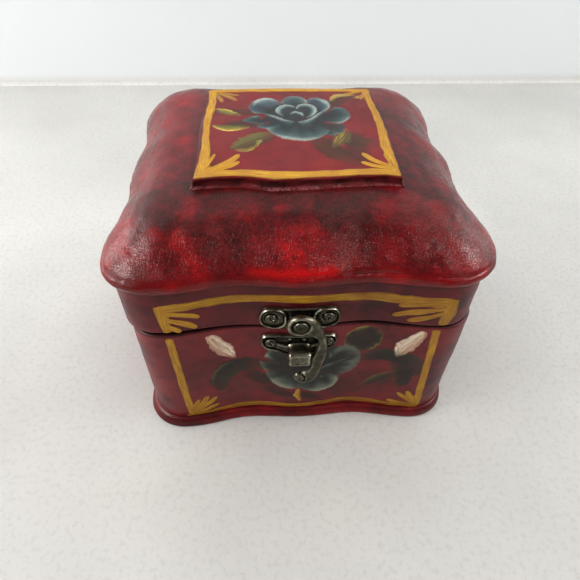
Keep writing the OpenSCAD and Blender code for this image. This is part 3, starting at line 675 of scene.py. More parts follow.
# a smooth, bright band along the front of the lip: burnished lacquer with a painted highlight where the rounded lip
# catches light
lip_wear_and_highlight = np.exp(-((tone_at[:, 2] - 92.0) / 1.5) ** 2) * smooth(-tone_at[:, 1], 52, 60) * smooth(tone_at[:, 0], -21.5, -17.0) * smooth(-tone_at[:, 0], -15.0, -8.0)
tone += 0.48 * lip_wear_and_highlight
# dried, greyish crackled places, which also stand for light: the pale patches at the front corners and on the left
# slope are painted reflections of window light, the small one at the right end of the lip a painted highlight
haze = [
    (14, -51, 104, 7, 0.50), (15, -59, 98, 6, 0.60), (13, -65, 93, 3.5, 1.10), (13, -58, 99, 6, 0.90), (41, -50, 104, 8, 0.50), (45, -59, 101, 8, 0.80),
    (52, -64, 96, 7, 0.95), (59, -61, 96, 6, 0.60), (-29, -57, 101, 8, 0.45), (-17, -59, 98, 7, 0.45), (-56, -63, 96, 6, 0.90),
    (-60, -58, 96, 5, 0.80), (-50, -65, 94, 4, 0.60), (-59, -66, 91, 4, 0.80), (-60, -17, 97, 14, 0.50), (-60, -35, 97, 9, 0.55),
    (-55, -52, 102, 6, 0.45), (52, -44, 104, 7, 0.30), (60, -20, 97, 12, 0.25), (0, -41, 105, 6, 0.35), (24, -41, 105, 6, 0.35), (-22, -41, 105, 5, 0.25),
    (-50, 56, 98, 10, 0.50), (20, 60, 97, 9, 0.50), (58, 40, 99, 10, 0.40), (-12, 54, 102, 7, 0.40), (60, 4, 97, 9, 0.35),
]
bloom_and_sheen = np.zeros(len(v))
for x, y, z, r, amount in haze:
    d2 = ((tone_at - np.array([x, y, z])) ** 2).sum(1)
    bloom_and_sheen = np.maximum(bloom_and_sheen, (0.55 if x > 35 else 0.42) * amount * smooth(1.55 + 0.25 * wobble(tone_at, 6.0, 91) - np.sqrt(d2) / r, 0, 1.1))
attr(dome, "tone", np.clip(tone, 0.14, 1.0))
attr(dome, "bloom_and_sheen", bloom_and_sheen)
attr(dome, "skin", 1.0 - 0.75 * np.maximum(1 - smooth(tone_at[:, 2], 90.5, 93.0), np.clip(1.2 * lip_wear_and_highlight, 0, 1)))
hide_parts("lid_dome")
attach(dome, "lid")


# ---- raised panel and its painting ----------------------------------------------------------------

# the panel's four edges as hand-cut lines, global x and y
E_FRONT = [(-38.4, -36.0), (-30.6, -34.6), (-20.8, -34.3), (-14.0, -36.0), (-9.8, -36.8), (-0.4, -36.3), (9.8, -35.6), (20.2, -34.8), (28.5, -35.0), (34.7, -36.1)]
E_RIGHT = [(34.7, -36.1), (35.0, -26.0), (35.2, -16.0), (35.8, -4.0), (35.9, 9.5), (35.2, 22.4), (35.2, 31.0), (35.6, 38.0)]
E_BACK = [(35.6, 38.0), (24.9, 38.4), (11.5, 38.8), (-1.4, 39.0), (-15.3, 38.9), (-28.5, 38.5), (-38.0, 37.6)]
E_LEFT = [(-38.0, 37.6), (-37.3, 29.0), (-37.4, 20.6), (-37.9, 11.0), (-37.7, -2.0), (-37.4, -13.6), (-37.6, -24.1), (-38.4, -36.0)]


def along(line, n):
    q = catmull(line, 12)
    s = np.r_[0, np.cumsum(np.linalg.norm(np.diff(q, axis=0), axis=1))]
    t = np.linspace(0, s[-1], n)
    return np.column_stack([np.interp(t, s, q[:, 0]), np.interp(t, s, q[:, 1])])


NP = 221
fr, bk = along(E_FRONT, NP), along(E_BACK, NP)[::-1]
rt, lf = along(E_RIGHT, NP), along(E_LEFT, NP)[::-1]
inx, iny = 0.9, 0.9


def coons(s, t):
    """Point of the panel's plan at shares s across and t from front to back."""
    g = np.linspace(0, 1, NP)

    def at(line, u):
        return np.column_stack([np.interp(u, g, line[:, 0]), np.interp(u, g, line[:, 1])])
    c00, c10, c01, c11 = fr[0], fr[-1], bk[0], bk[-1]
    s1, t1 = s[:, None], t[:, None]
    return (1 - t1) * at(fr, s) + t1 * at(bk, s) + (1 - s1) * at(lf, t) + s1 * at(rt, t) \
        - ((1 - s1) * (1 - t1) * c00 + s1 * (1 - t1) * c10 + (1 - s1) * t1 * c01 + s1 * t1 * c11)


def panel_z(p):
    return TOP_Z - 0.36 + 0.05 * wobble(p, 30.0, 71) + 0.02 * wobble(p, 9.0, 72)


ss, tt = np.meshgrid(np.linspace(0, 1, NP), np.linspace(0, 1, NP))
flat = coons(ss.ravel(), tt.ravel())
mid = np.array([-1.3, 0.2])
flat = mid + (flat - mid) * (1 - 0.55 / 37)      # the top face ends before the rounded edge
zt = panel_z(flat)
idx = np.arange(NP * NP).reshape(NP, NP)
faces = np.stack([idx[:-1, :-1], idx[:-1, 1:], idx[1:, 1:], idx[1:, :-1]], -1).reshape(-1, 4).tolist()
rim = np.r_[idx[0, :-1], idx[:-1, -1], idx[-1, :0:-1], idx[:0:-1, 0]]
verts = [np.column_stack([flat, zt])]
edge2 = (flat[rim] - mid) / (1 - 0.55 / 37) + mid
nrm = (edge2 - mid) / np.linalg.norm(edge2 - mid, axis=1)[:, None]
rz = zt[rim]
prev = rim
count = NP * NP
side = [(-0.30, -0.12), (-0.10, -0.40), (0.0, -0.9), (0.06, -1.4), (0.18, -1.9), (0.40, -2.4), (0.74, -2.8), (1.15, -3.1), (1.60, -3.35), (1.95, -3.6), (2.0, -3.9)]
for dx, dz in side:
    w = 0.16 * wobble(np.column_stack([edge2, np.full(len(edge2), dz * 3)]), 7.0, 74) * min(1.0, -dz)
    p = edge2 + nrm * (dx + np.minimum(w, 0.12))[:, None]
    z = np.maximum(rz + dz, PANEL_Z - 0.3) if dz > -3.5 else np.full(len(rim), PANEL_Z - (0.15 if dz > -3.8 else 0.4))
    verts.append(np.column_stack([p, z]))
    cur = count + np.arange(len(rim))
    count += len(rim)
    faces += np.column_stack([prev, cur, np.roll(cur, -1), np.roll(prev, -1)]).tolist()
    prev = cur
verts.append(np.array([[mid[0], mid[1], PANEL_Z - 0.4]]))
faces += [[int(b), int(a), count] for a, b in zip(np.roll(prev, -1), prev)]
v = np.concatenate(verts)
panel = make("panel", v, faces, M_PANEL, 55)
tp = tone_of(v, [(0, -20, 109, 18, 0.10), (-20, -24, 109, 12, 0.06), (20, -26, 109, 12, 0.08), (0, 28, 109, 16, -0.06), (32, 22, 109, 16, -0.12)], 0.52, 15)
# the panel's sides much darker than its top, painted shade, a little lighter towards the bottom
attr(panel, "tone", np.where(v[:, 2] < TOP_Z - 1.0, 0.10 + 0.12 * smooth(-v[:, 2], -106.6, -105.4), tp))
cv = Canvas(v[:, :2], v[:, 2] > TOP_Z - 0.5)
T_D, T_M, T_L, T_P = lin("16282A"), lin("213B3E"), lin("3F5A5A"), lin("A6B0A4")
BLUE = lin("233B46")
G_D, G_M, G_Y, Y_L = lin("25281C"), lin("40472A"), lin("8E8C3C"), lin("D8C060")
PET = [(0, T_P, 0.78), (0.35, lin("86968C"), 0.93), (0.8, lin("5C746E"), 0.97), (1.6, T_L, 0.98), (3.0, T_M, 0.98), (5.0, T_D, 0.98), (10, T_D, 0.96)]
PETB = [(0, T_P, 0.78), (0.35, lin("83948E"), 0.93), (0.9, lin("566D72"), 0.97), (1.9, lin("334C54"), 0.98), (3.2, BLUE, 0.98), (5.6, T_D, 0.98), (10, T_D, 0.96)]
# leaves
cv.brush([(-12, 13), (-19, 15.0), (-26, 15.8), (-31, 16.0)], [1.8, 3.2, 2.8, 1.2], [(-1, G_D), (1, lin("33251A"))], soft=1.2, fade=(0.3, 0.3), seed=81, strength=0.85)
cv.brush([(-32.4, 17.8), (-29.2, 15.6), (-24.4, 12.6)], [1.2, 2.7, 1.4], [(-1, Y_L), (-0.5, G_Y), (0.3, lin("66692E")), (1, G_M)], soft=0.45, fade=(1.0, 0.3), seed=82, dry=0.3)
cv.brush([(-10, 2.5), (-17, 4.6), (-25, 4.4), (-30, 3.4)], [1.6, 3.6, 3.4, 1.4], [(-1, G_D), (1, G_D)], soft=1.1, fade=(0.3, 0.4), seed=83, strength=0.9)
cv.brush([(-32.8, 3.2), (-27.4, 1.2), (-20.4, 2.4)], [1.2, 2.9, 1.5], [(-1, G_M), (-0.2, lin("66692E")), (0.45, G_Y), (0.95, Y_L)], soft=0.45, fade=(1.0, 0.4), seed=84, dry=0.3)
cv.brush([(-9.5, -4.5), (-14.5, -7.0), (-20, -10.5), (-24.8, -14.8)], [2.4, 4.6, 4.6, 1.4], [(-1, G_D), (0.1, lin("4A552B")), (1, lin("666A33"))], soft=0.7, fade=(0.4, 1.0), seed=85, strength=0.95)
cv.petal((-17, -9.5), [(-25.8, -15.2), (-22.6, -17.6), (-18.2, -17.0), (-14.8, -11.6), (-13.9, -8.0)], [(0, Y_L, 0.95), (0.8, G_Y, 0.9), (2.2, G_Y, 0.75), (4.5, G_M, 0.3)], rim=1.0, seed=86, dry=0.4)
cv.brush([(10, 16), (15.5, 21.5), (21, 26.5), (28, 30.0)], [2.2, 4.0, 3.6, 1.2], [(-1, G_D), (1, lin("2C2419"))], soft=0.9, fade=(0.4, 0.4), seed=87, strength=0.9)
cv.brush([(16.6, 25.6), (19.0, 30.0), (23.6, 31.4), (27.4, 31.4)], [0.9, 1.8, 1.5, 0.8], [(-1, Y_L), (1, G_Y)], soft=0.35, fade=(0.5, 0.4), seed=88, dry=0.4)
cv.brush([(27.0, 28.6), (29.6, 29.2), (31.2, 28.2)], [0.8, 1.6, 0.6], [(-1, G_Y), (1, Y_L)], soft=0.6, fade=(0.3, 0.5), seed=89, dry=0.5)
cv.brush([(5, -6.5), (9.5, -13), (14.5, -20.5), (21.5, -28.8)], [2.6, 5.0, 4.8, 0.8], [(-1, G_D), (0.3, lin("38301E")), (1, lin("3A241A"))], soft=1.0, fade=(0.4, 0.4), seed=90, strength=0.92)
cv.brush([(12, -4), (19, -7.5), (25, -10.5), (28.8, -13.5)], [3.0, 6.0, 5.8, 2.0], [(-1, lin("3A2A1C")), (0.4, G_D), (1, G_D)], soft=1.4, fade=(0.4, 0.3), seed=91, strength=0.9)
cv.brush([(22, -12), (21.5, -20), (22.5, -27)], [5.0, 4.6, 0.8], [(-1, G_D), (1, lin("34231A"))], soft=1.4, fade=(0.4, 0.4), seed=92, strength=0.8)
cv.brush([(13.6, -14.4), (17.0, -8.6), (19.6, -2.0)], [1.4, 3.6, 2.2], [(-1, lin("A09A48")), (0, lin("7C7434")), (1, G_M)], soft=1.2, fade=(0.4, 0.4), seed=93, dry=0.6, strength=0.95)
# petals, back to front
cv.petal((7, 8), [(14.0, 17.0), (17.2, 18.9), (21.0, 18.1), (23.2, 13.6), (22.8, 9.4), (19.6, 5.4), (15.8, 3.6)], PET, rim=2.0, seed=101)
cv.petal((6, 4.5), [(18.4, 5.2), (19.7, 1.6), (18.2, -2.6), (14.2, -5.8), (10.6, -5.8)], [(0, lin("7E9492"), 0.9), (0.8, T_L, 0.95), (2, T_M, 0.97), (4, T_D, 0.97), (9, T_D, 0.9)], rim=1.8, seed=102)
cv.petal((-7, 8.5), [(-15.4, 12.6), (-19.6, 10.4), (-21.8, 8.0), (-18.8, 5.8), (-13.4, 4.2)], PET, rim=1.5, seed=103)
cv.petal((-5, 7), [(-15.6, 4.4), (-15.8, 2.0), (-12.4, 0.2), (-8.2, -0.2)], PET, rim=1.4, seed=104)
cv.petal((-3, 11), [(-17.0, 13.8), (-19.5, 19.2), (-18.3, 24.6), (-14.6, 28.4), (-10.6, 29.0), (-7.2, 26.8), (-5.2, 23.4)], PETB, rim=2.6, seed=105, ends=0.1)
cv.petal((4, 11), [(5.2, 24.4), (7.4, 28.2), (11.0, 28.8), (14.6, 25.6), (15.6, 20.6), (14.0, 16.6), (12.0, 13.6)], PETB, rim=2.6, seed=106, ends=0.1)
cv.petal((0.4, 14), [(-5.8, 23.6), (-4.9, 27.4), (-2.4, 30.2), (1.0, 30.8), (3.6, 29.9), (5.6, 27.0), (5.9, 23.4)], PET, rim=2.4, seed=107, ends=0.1)
cv.petal((0.5, 11), [(-13, 12), (-10, 20), (-3, 24), (5, 24), (11, 19), (13.5, 12), (12, 3), (6, -3), (-3, -4), (-10, 1)], [(0, T_D, 0.2), (1.5, T_D, 0.97), (6, lin("182A2F"), 0.98)], rim=1.2, soft=1.5, closed=True, seed=108)
cv.petal((0.8, 8.5), [(-12.8, 1.6), (-11.6, -1.6), (-8.8, -5.2), (-4.0, -8.4), (2.6, -9.8), (8.2, -7.8), (12.0, -4.0), (13.4, -0.4)], PET, rim=2.3, seed=109, ends=0.08)
cv.petal((-4.6, -3.6), [(-13.2, 13.6), (-10.6, 12.2), (-7.0, 8.8), (-3.8, 6.6), (-0.6, 5.7)], [(0, lin("879B98"), 0.95), (0.8, T_L, 0.96), (2.0, T_M, 0.96), (4.2, T_D, 0.9), (8, T_D, 0.2)], rim=1.3, seed=110, ends=0.08)
cv.petal((6.4, -4.0), [(0.4, 5.6), (3.6, 6.2), (7.2, 8.6), (10.4, 13.4), (14.4, 17.8)], [(0, lin("879B98"), 0.95), (0.8, T_L, 0.96), (2.0, T_M, 0.96), (4.2, T_D, 0.9), (8, T_D, 0.2)], rim=1.3, seed=111, ends=0.08)
OUT = [(-1, T_P), (-0.2, lin("8A9E9A")), (0.5, T_L), (1, T_M)]
cv.brush([(-5.2, 11.6), (-6.7, 15.2), (-5.6, 19.0), (-2.8, 20.9), (-0.2, 19.4)], [0.6, 1.5, 1.7, 1.5, 0.6], OUT, soft=0.4, fade=(0.3, 0.7), seed=112, dry=0.25)
cv.brush([(1.2, 18.0), (2.4, 20.4), (5.2, 21.1), (7.5, 19.2), (8.0, 15.6), (6.4, 11.8), (4.4, 9.6)], [0.6, 1.4, 1.7, 1.7, 1.5, 1.2, 0.4], OUT, soft=0.4, fade=(0.6, 0.3), seed=113, dry=0.25)
cv.brush([(-1.8, 13.0), (0.2, 14.4), (2.4, 12.8), (2.9, 10.8)], [0.5, 1.3, 1.2, 0.4], OUT, soft=0.4, fade=(0.5, 0.3), seed=114, dry=0.2)
cv.brush([(-13.0, 13.4), (-10.6, 12.0), (-7.0, 8.9), (-3.8, 6.9), (-0.8, 6.1)], [0.3, 0.8, 1.1, 0.8, 0.3], [(-1, T_P), (1, T_L)], soft=0.4, fade=(0.2, 0.3), seed=115, dry=0.3)
cv.brush([(0.8, 6.1), (3.8, 6.6), (7.4, 9.0), (10.6, 13.5), (14.2, 17.6)], [0.3, 0.8, 1.0, 0.8, 0.3], [(-1, T_P), (1, T_L)], soft=0.4, fade=(0.3, 0.4), seed=116, dry=0.35)
cv.brush([(-17.6, 20.4), (-16.2, 25.0), (-12.6, 27.8), (-9.0, 27.0)], [0.5, 1.2, 1.2, 0.4], [(-1, T_P), (1, lin("8FA49E"))], soft=0.6, fade=(0.2, 0.3), seed=117, dry=0.5, strength=0.8)
cv.brush([(9.6, 27.6), (13.2, 25.2), (14.4, 20.6)], [0.5, 1.5, 0.5], [(-1, T_P), (1, lin("8FA49E"))], soft=0.6, fade=(0.2, 0.2), seed=118, dry=0.5, strength=0.85)
cv.brush([(-10.2, -3.2), (-5.0, -7.2), (2.2, -8.9), (7.6, -7.2)], [0.4, 1.3, 1.2, 0.4], [(-1, lin("8FA49E")), (1, T_P)], soft=0.6, fade=(0.2, 0.2), seed=119, dry=0.5, strength=0.85)
rgba = cv.rgba()
# a thin speckled pinkish line along the front base of the panel's side: a painted highlight
foot_highlight = smooth(v[:, 2], 105.1, 105.3) * smooth(-v[:, 2], -106.3, -105.7) * smooth(-v[:, 1], 35.0, 36.5)
foot_highlight_speckle = np.clip(0.25 + 0.9 * wobble(v, 0.9, 77) + 0.5 * wobble(v, 9.0, 78), 0, 1)
rgba[:, :3] = np.where((foot_highlight > 0)[:, None], lin("8A5658"), rgba[:, :3])
rgba[:, 3] = np.maximum(rgba[:, 3], foot_highlight * foot_highlight_speckle * 0.6)
attr(panel, "paint", rgba)
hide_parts("lid_top_panel")
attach(panel, "lid")


# ---- raised yellow brush strokes ------------------------------------------------------------------

def on_front(cx, seed, band=False):
    """Points in x, z with a height off the front face, in the wall's own bent surface."""
    def f(uv, h):
        x, z = uv[:, 0], uv[:, 1]
        y = face_y(x, cx)
        dx = (face_y(x + 0.05, cx) - face_y(x - 0.05, cx)) / 0.1
        n = np.column_stack([dx, -np.ones(len(x))])
        n /= np.linalg.norm(n, axis=1)[:, None]
        zz = (LIP_Z - LID_Z) - (z - LID_Z) if band else z
        d = dent(np.column_stack([x - cx, y, zz]), seed)
        q = np.column_stack([x, y]) + n * (h - d)[:, None]
        return np.column_stack([q, z])
    return f


def on_top(uv, h):
    return np.column_stack([uv, panel_z(uv) + h])


def ribbon(edges, where, seed, thick=0.15, lift_=0.0, thin=0.0, taper=(0.25, 0.25), grow=0.05):
    """One brush stroke between two edge lines, as a closed thin solid laid on a face.
    Returns points, faces, stroke coordinates and thinness."""
    a, b = (catmull(e, 10) for e in edges)
    n = max(8, int(np.linalg.norm(np.diff(0.5 * (a[:len(b)] + b[:len(a)]) if len(a) == len(b) else a, axis=0), axis=1).sum() / 0.45))

    def res(q):
        s = np.r_[0, np.cumsum(np.linalg.norm(np.diff(q, axis=0), axis=1))]
        t = np.linspace(0, s[-1], n)
        return np.column_stack([np.interp(t, s, q[:, 0]), np.interp(t, s, q[:, 1])])
    a, b = res(a), res(b)
    s = np.linspace(0, 1, n)
    mid_, half = 0.5 * (a + b), 0.5 * (b - a)
    length = np.linalg.norm(np.diff(mid_, axis=0), axis=1).sum()
    seedp = np.column_stack([s * length, np.full(n, seed * 3.7)])
    wa = 1 + grow * wobble(seedp, 8.0, seed) + 0.3 * grow * wobble(seedp, 2.2, seed + 1)
    wb = 1 + grow * wobble(seedp, 8.0, seed + 2) + 0.3 * grow * wobble(seedp, 2.2, seed + 3)
    end = np.sqrt(np.clip(np.minimum(s / max(taper[0] * 0.3, 1e-3), 1), 0.02, 1)) * np.sqrt(np.clip(np.minimum((1 - s) / max(taper[1] * 0.3, 1e-3), 1), 0.02, 1))
    cols = np.array([-1.0, -0.9, -0.72, -0.48, -0.24, 0.0, 0.24, 0.48, 0.72, 0.9, 1.0])
    hs = np.array([-0.16, 0.35, 0.85, 0.95, 0.85, 0.8, 0.85, 0.95, 0.9, 0.4, -0.16])
    pts, st, th, sd = [], [], [], []
    for c, h in zip(cols, hs):
        w = (wa if c < 0 else wb) * end
        uv = mid_ + half * (c * w)[:, None]
        groove = 0.22 * wobble(np.column_stack([s * length * 0.15, np.full(n, c * 9.0)]), 2.0, seed + 9)
        hh = thick * (h + (groove if abs(c) < 0.8 else 0)) * (0.3 + 0.7 * end) + lift_ * (1 if h > 0 else 0)
        pts.append(where(uv, np.full(n, 1.0) * hh))
        st.append(np.column_stack([s * length, np.full(n, c * np.linalg.norm(half, axis=1).mean()), np.full(n, seed * 1.3)]))
        th.append(np.full(n, 1.0) * (thin if np.isscalar(thin) else np.interp(s, np.linspace(0, 1, len(thin)), thin)))
        sd.append(np.full(n, abs(c)))
    for c in (0.9, -0.9):
        w = (wa if c < 0 else wb) * end
        pts.append(where(mid_ + half * (c * w)[:, None], np.full(n, -0.45)))
        st.append(st[0])
        th.append(th[0])
        sd.append(sd[0])
    m = len(pts)
    v = np.stack(pts, 1).reshape(-1, 3)            # ring after ring
    f = []
    for i in range(n - 1):
        for j in range(m):
            k = (j + 1) % m
            f.append([i * m + j, i * m + k, (i + 1) * m + k, (i + 1) * m + j])
    f.append(list(range(m - 1, -1, -1)))
    f.append([(n - 1) * m + j for j in range(m)])
    return v, f, np.stack(st, 1).reshape(-1, 3), np.stack(th, 1).ravel(), np.stack(sd, 1).ravel()


def strokes(name, parts, body):
    v, f, s, t, e, o = [], [], [], [], [], 0
    for p, q, a, b, c in parts:
        v.append(p)
        f += [[i + o for i in x] for x in q]
        s.append(a)
        t.append(b)
        e.append(c)
        o += len(p)
    v = np.concatenate(v)
    ob = make(name, v, f, M_YELLOW)
    me = ob.data
    import bmesh
    bm = bmesh.new()
    bm.from_mesh(me)
    bmesh.ops.recalc_face_normals(bm, faces=bm.faces)
    bm.to_mesh(me)
    bm.free()
    attr(ob, "stroke", np.concatenate(s))
    attr(ob, "thin", np.concatenate(t))
    attr(ob, "side", np.concatenate(e))
    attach(ob, body)
    return ob


def dab(a, b, w0, w1, bend=0.0):
    """Edges of a short fan dab from a to b, w0 wide at the root and w1 near the end."""
    a, b = np.array(a, float), np.array(b, float)
    d = b - a
    n = np.array([-d[1], d[0]]) / np.linalg.norm(d)
    mids = [a, a + d * 0.35 + n * bend * 0.7, a + d * 0.7 + n * bend, b]
    ws = [w0, 0.5 * (w0 + w1), w1, w1 * 0.75]
    return [tuple(m + n * w / 2) for m, w in zip(mids, ws)], [tuple(m - n * w / 2) for m, w in zip(mids, ws)]


def pull(line, c=(-1.3, 0.2), k=0.9935):
    return [tuple(np.array(c) + (np.array(p) - np.array(c)) * k) for p in line]


top_parts = [
    ribbon((pull(E_LEFT), [(-33.8, 35.6), (-33.6, 28.6), (-33.6, 20.4), (-34.4, 10.8), (-34.6, -2.1), (-33.6, -13.7), (-32.8, -24.2), (-32.4, -33.0)]), on_top, 201, taper=(0.02, 0.02)),
    ribbon((pull(E_RIGHT), [(30.4, -33.4), (31.4, -26.1), (30.9, -15.4), (32.0, -3.9), (32.5, 9.3), (32.0, 22.0), (31.5, 30.5), (31.4, 35.4)]), on_top, 202, thin=[0.1, 0.15, 0.3, 0.35, 0.3], taper=(0.02, 0.02)),
    ribbon((pull(E_BACK), [(33.2, 34.6), (24.4, 34.9), (11.2, 35.2), (-2.1, 35.5), (-15.3, 35.3), (-28.4, 34.9), (-36.0, 34.4)]), on_top, 203, lift_=0.02, taper=(0.02, 0.02)),
    ribbon((pull(E_FRONT), [(-36.4, -30.8), (-30.9, -30.0), (-20.8, -29.8), (-14.5, -30.4), (-10.5, -31.0), (-0.2, -31.6), (9.8, -31.2), (20.9, -30.4), (28.5, -30.8), (33.2, -31.8)]), on_top, 204, lift_=0.03, taper=(0.02, 0.02)),
    # corner fans
    ribbon(dab((-34.8, -30.6), (-31.6, -19.0), 1.6, 1.5), on_top, 211, lift_=0.04),
    ribbon(dab((-34.6, -31.2), (-22.6, -19.6), 1.8, 3.0, -0.9), on_top, 212, lift_=0.05),
    ribbon(dab((-34.2, -31.6), (-22.4, -24.6), 1.6, 2.4, -0.6), on_top, 213, lift_=0.06),
    ribbon(dab((33.2, -30.8), (31.2, -20.4), 1.4, 1.8), on_top, 214, lift_=0.04, thin=0.5),
    ribbon(dab((33.4, -31.2), (22.9, -19.8), 1.6, 2.8, 0.8), on_top, 215, lift_=0.05),
    ribbon(dab((33.2, -31.6), (21.6, -26.2), 1.6, 2.4, 0.5), on_top, 216, lift_=0.06),
    ribbon(dab((-35.0, 36.0), (-23.8, 31.4), 1.4, 2.2, -0.3), on_top, 217, thin=0.75, thick=0.08),
    ribbon(dab((-35.0, 35.6), (-24.6, 26.4), 1.6, 2.6, 0.4), on_top, 218, thin=0.85, thick=0.08),
    ribbon(dab((-34.8, 35.0), (-31.0, 24.8), 1.4, 2.4, 0.3), on_top, 219, thin=0.85, thick=0.08),
    ribbon(dab((33.2, 36.0), (22.8, 32.6), 1.4, 2.0, 0.3), on_top, 220, thin=0.5, thick=0.08),
    ribbon(dab((33.4, 35.6), (29.8, 26.6), 1.4, 2.2, -0.3), on_top, 221, thin=0.6, thick=0.08),
]
strokes("panel_border", top_parts, "lid")

on_band, on_base = on_front(LID_X, 17, True), on_front(0.0, 3)
band_parts = [
    ribbon(([(-52.0, 78.6), (-46, 79.0), (-41, 78.9), (-33, 79.4), (-25, 79.6), (-12, 79.6), (0, 79.4), (12, 79.3), (24, 79.2), (32, 78.9), (42, 78.6), (52.4, 78.4)],
            [(-52.4, 74.6), (-46, 74.9), (-41, 74.9), (-33, 75.3), (-25, 75.6), (-12, 75.8), (0, 75.2), (12, 75.3), (24, 74.8), (32, 74.0), (42, 73.4), (52.2, 73.2)]), on_band, 231,
           thin=[0.1, 0.2, 0.35, 0.25, 0.1, 0.05, 0.2, 0.5, 0.6, 0.6, 0.5, 0.45], taper=(0.02, 0.02)),
    ribbon(([(-52.9, 78.4), (-52.9, 72.0), (-52.2, 66.0), (-51.9, 63.9)], [(-48.6, 78.4), (-48.6, 72.0), (-48.8, 66.0), (-48.8, 63.9)]), on_band, 232, lift_=0.03, taper=(0.05, 0.03)),
    ribbon(dab((-50.0, 74.4), (-38.0, 70.4), 2.0, 2.8, 0.4), on_band, 233, lift_=0.05),
    ribbon(dab((-50.4, 71.6), (-39.6, 64.8), 2.0, 3.2, 0.3), on_band, 234, lift_=0.05),
    ribbon(dab((-50.6, 68.4), (-45.6, 63.6), 1.8, 2.4), on_band, 235, lift_=0.05),
    ribbon(([(54.4, 77.8), (54.9, 72.0), (54.2, 66.0), (53.2, 63.7)], [(50.2, 77.8), (50.0, 72.0), (49.6, 66.0), (49.8, 63.7)]), on_band, 236, lift_=0.03, thin=0.45, taper=(0.05, 0.03)),
    ribbon(dab((51.6, 75.4), (33.6, 73.0), 2.2, 3.0, -0.5), on_band, 237, lift_=0.05, thin=0.45),
    ribbon(dab((51.6, 73.2), (32.2, 67.6), 2.2, 3.2, -0.3), on_band, 238, lift_=0.05, thin=[0.4, 0.5, 0.7]),
    ribbon(dab((51.2, 70.6), (38.0, 65.4), 2.0, 2.8, 0.2), on_band, 239, lift_=0.04, thin=0.65),
]
strokes("lid_band_border", band_parts, "lid")
base_parts = [
    ribbon(([(-52.0, 60.6), (-51.9, 50), (-51.6, 34), (-51.2, 18), (-50.4, 6.2)], [(-49.0, 60.6), (-48.7, 50), (-48.2, 34), (-47.7, 18), (-46.8, 6.2)]), on_base, 241, thin=0.2, taper=(0.02, 0.02)),
    ribbon(([(51.9, 60.7), (52.5, 50), (53.4, 34), (54.4, 18), (54.9, 6.4)], [(48.4, 60.7), (49.2, 50), (50.2, 34), (51.0, 18), (51.4, 6.4)]), on_base, 242, thin=0.2, taper=(0.02, 0.02)),
    ribbon(([(-51.8, 5.6), (-44, 6.6), (-35, 8.0), (-26, 9.3), (-19, 9.6), (-10, 8.6), (-1, 7.8), (9, 8.8), (20, 10.2), (28, 9.6), (38, 8.4), (46, 8.0), (54.6, 8.2)],
            [(-51.0, 5.05), (-44, 5.1), (-35, 5.3), (-26, 5.7), (-19, 6.1), (-10, 5.2), (-1, 5.05), (9, 5.6), (20, 6.6), (28, 6.2), (38, 5.4), (46, 5.1), (54.2, 5.1)]), on_base, 243,
           lift_=0.02, thin=[0.4, 0.6, 0.8, 0.9, 0.8, 0.5, 0.6, 0.8, 0.95, 0.95, 0.9, 0.7, 0.5], taper=(0.02, 0.02)),
    ribbon(dab((-49.0, 7.6), (-44.4, 17.2), 1.6, 2.0, 0.2), on_base, 244, lift_=0.05, thin=0.4),
    ribbon(dab((-48.6, 7.0), (-40.6, 19.0), 1.8, 2.6, -0.3), on_base, 245, lift_=0.06, thin=0.35),
    ribbon(dab((-48.2, 6.8), (-36.8, 17.2), 1.8, 2.6, -0.3), on_base, 246, lift_=0.05, thin=0.4),
    ribbon(dab((-47.8, 6.6), (-36.4, 11.4), 1.8, 2.2, -0.3), on_base, 247, lift_=0.04, thin=0.5),
    ribbon(dab((52.6, 8.2), (43.2, 16.6), 1.8, 2.6, 0.3), on_base, 248, lift_=0.05, thin=0.4),
    ribbon(dab((52.8, 8.6), (47.0, 18.2), 1.8, 2.6, 0.2), on_base, 249, lift_=0.06, thin=0.4),
    ribbon(dab((53.0, 8.8), (50.4, 14.6), 1.4, 1.8), on_base, 250, lift_=0.05, thin=0.4),
    ribbon(dab((52.0, 7.6), (39.4, 9.8), 1.8, 2.2, 0.3), on_base, 251, lift_=0.04, thin=0.6),
]
strokes("base_border", base_parts, "base")


# ---- felt linings ----------------------------------------------------------------------------------

def felt_slab(name, x0, x1, y0, y1, z0, z1, body, node, wave_seed, down=False):
    """A thin felt sheet with a soft uneven nap and rounded edges, wholly inside its CAD space."""
    n = 72
    xs, ys = np.linspace(x0, x1, n), np.linspace(y0, y1, n)
    gx, gy = np.meshgrid(xs, ys)
    e = np.minimum.reduce([gx - x0, x1 - gx, gy - y0, y1 - gy])
    p = np.column_stack([gx.ravel(), gy.ravel()])
    nap = 0.05 + 0.05 * wobble(p, 18.0, wave_seed).reshape(n, n) + 0.02 * wobble(p, 5.0, wave_seed + 1).reshape(n, n)
    h = (z1 - z0) - np.clip(nap, 0, 0.2) - 0.35 * (1 - smooth(e, 0, 1.6))
    z_nap = z1 - h if down else z0 + h
    z_back = z1 if down else z0
    v = np.vstack([np.column_stack([p, z_nap.ravel()]), np.column_stack([p, np.full(n * n, z_back)])])
    i = np.arange(n * n).reshape(n, n)
    q = np.stack([i[:-1, :-1], i[:-1, 1:], i[1:, 1:], i[1:, :-1]], -1).reshape(-1, 4)
    f = q.tolist() + (q[:, ::-1] + n * n).tolist()
    rim_ = np.r_[i[0, :-1], i[:-1, -1], i[-1, :0:-1], i[:0:-1, 0]]
    f += np.column_stack([rim_, rim_ + n * n, np.roll(rim_, -1) + n * n, np.roll(rim_, -1)]).tolist()
    if down:
        f = [x[::-1] for x in f]
    o = make(name, v, f, M_FELT, 50)
    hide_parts(node)
    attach(o, body)
    return o


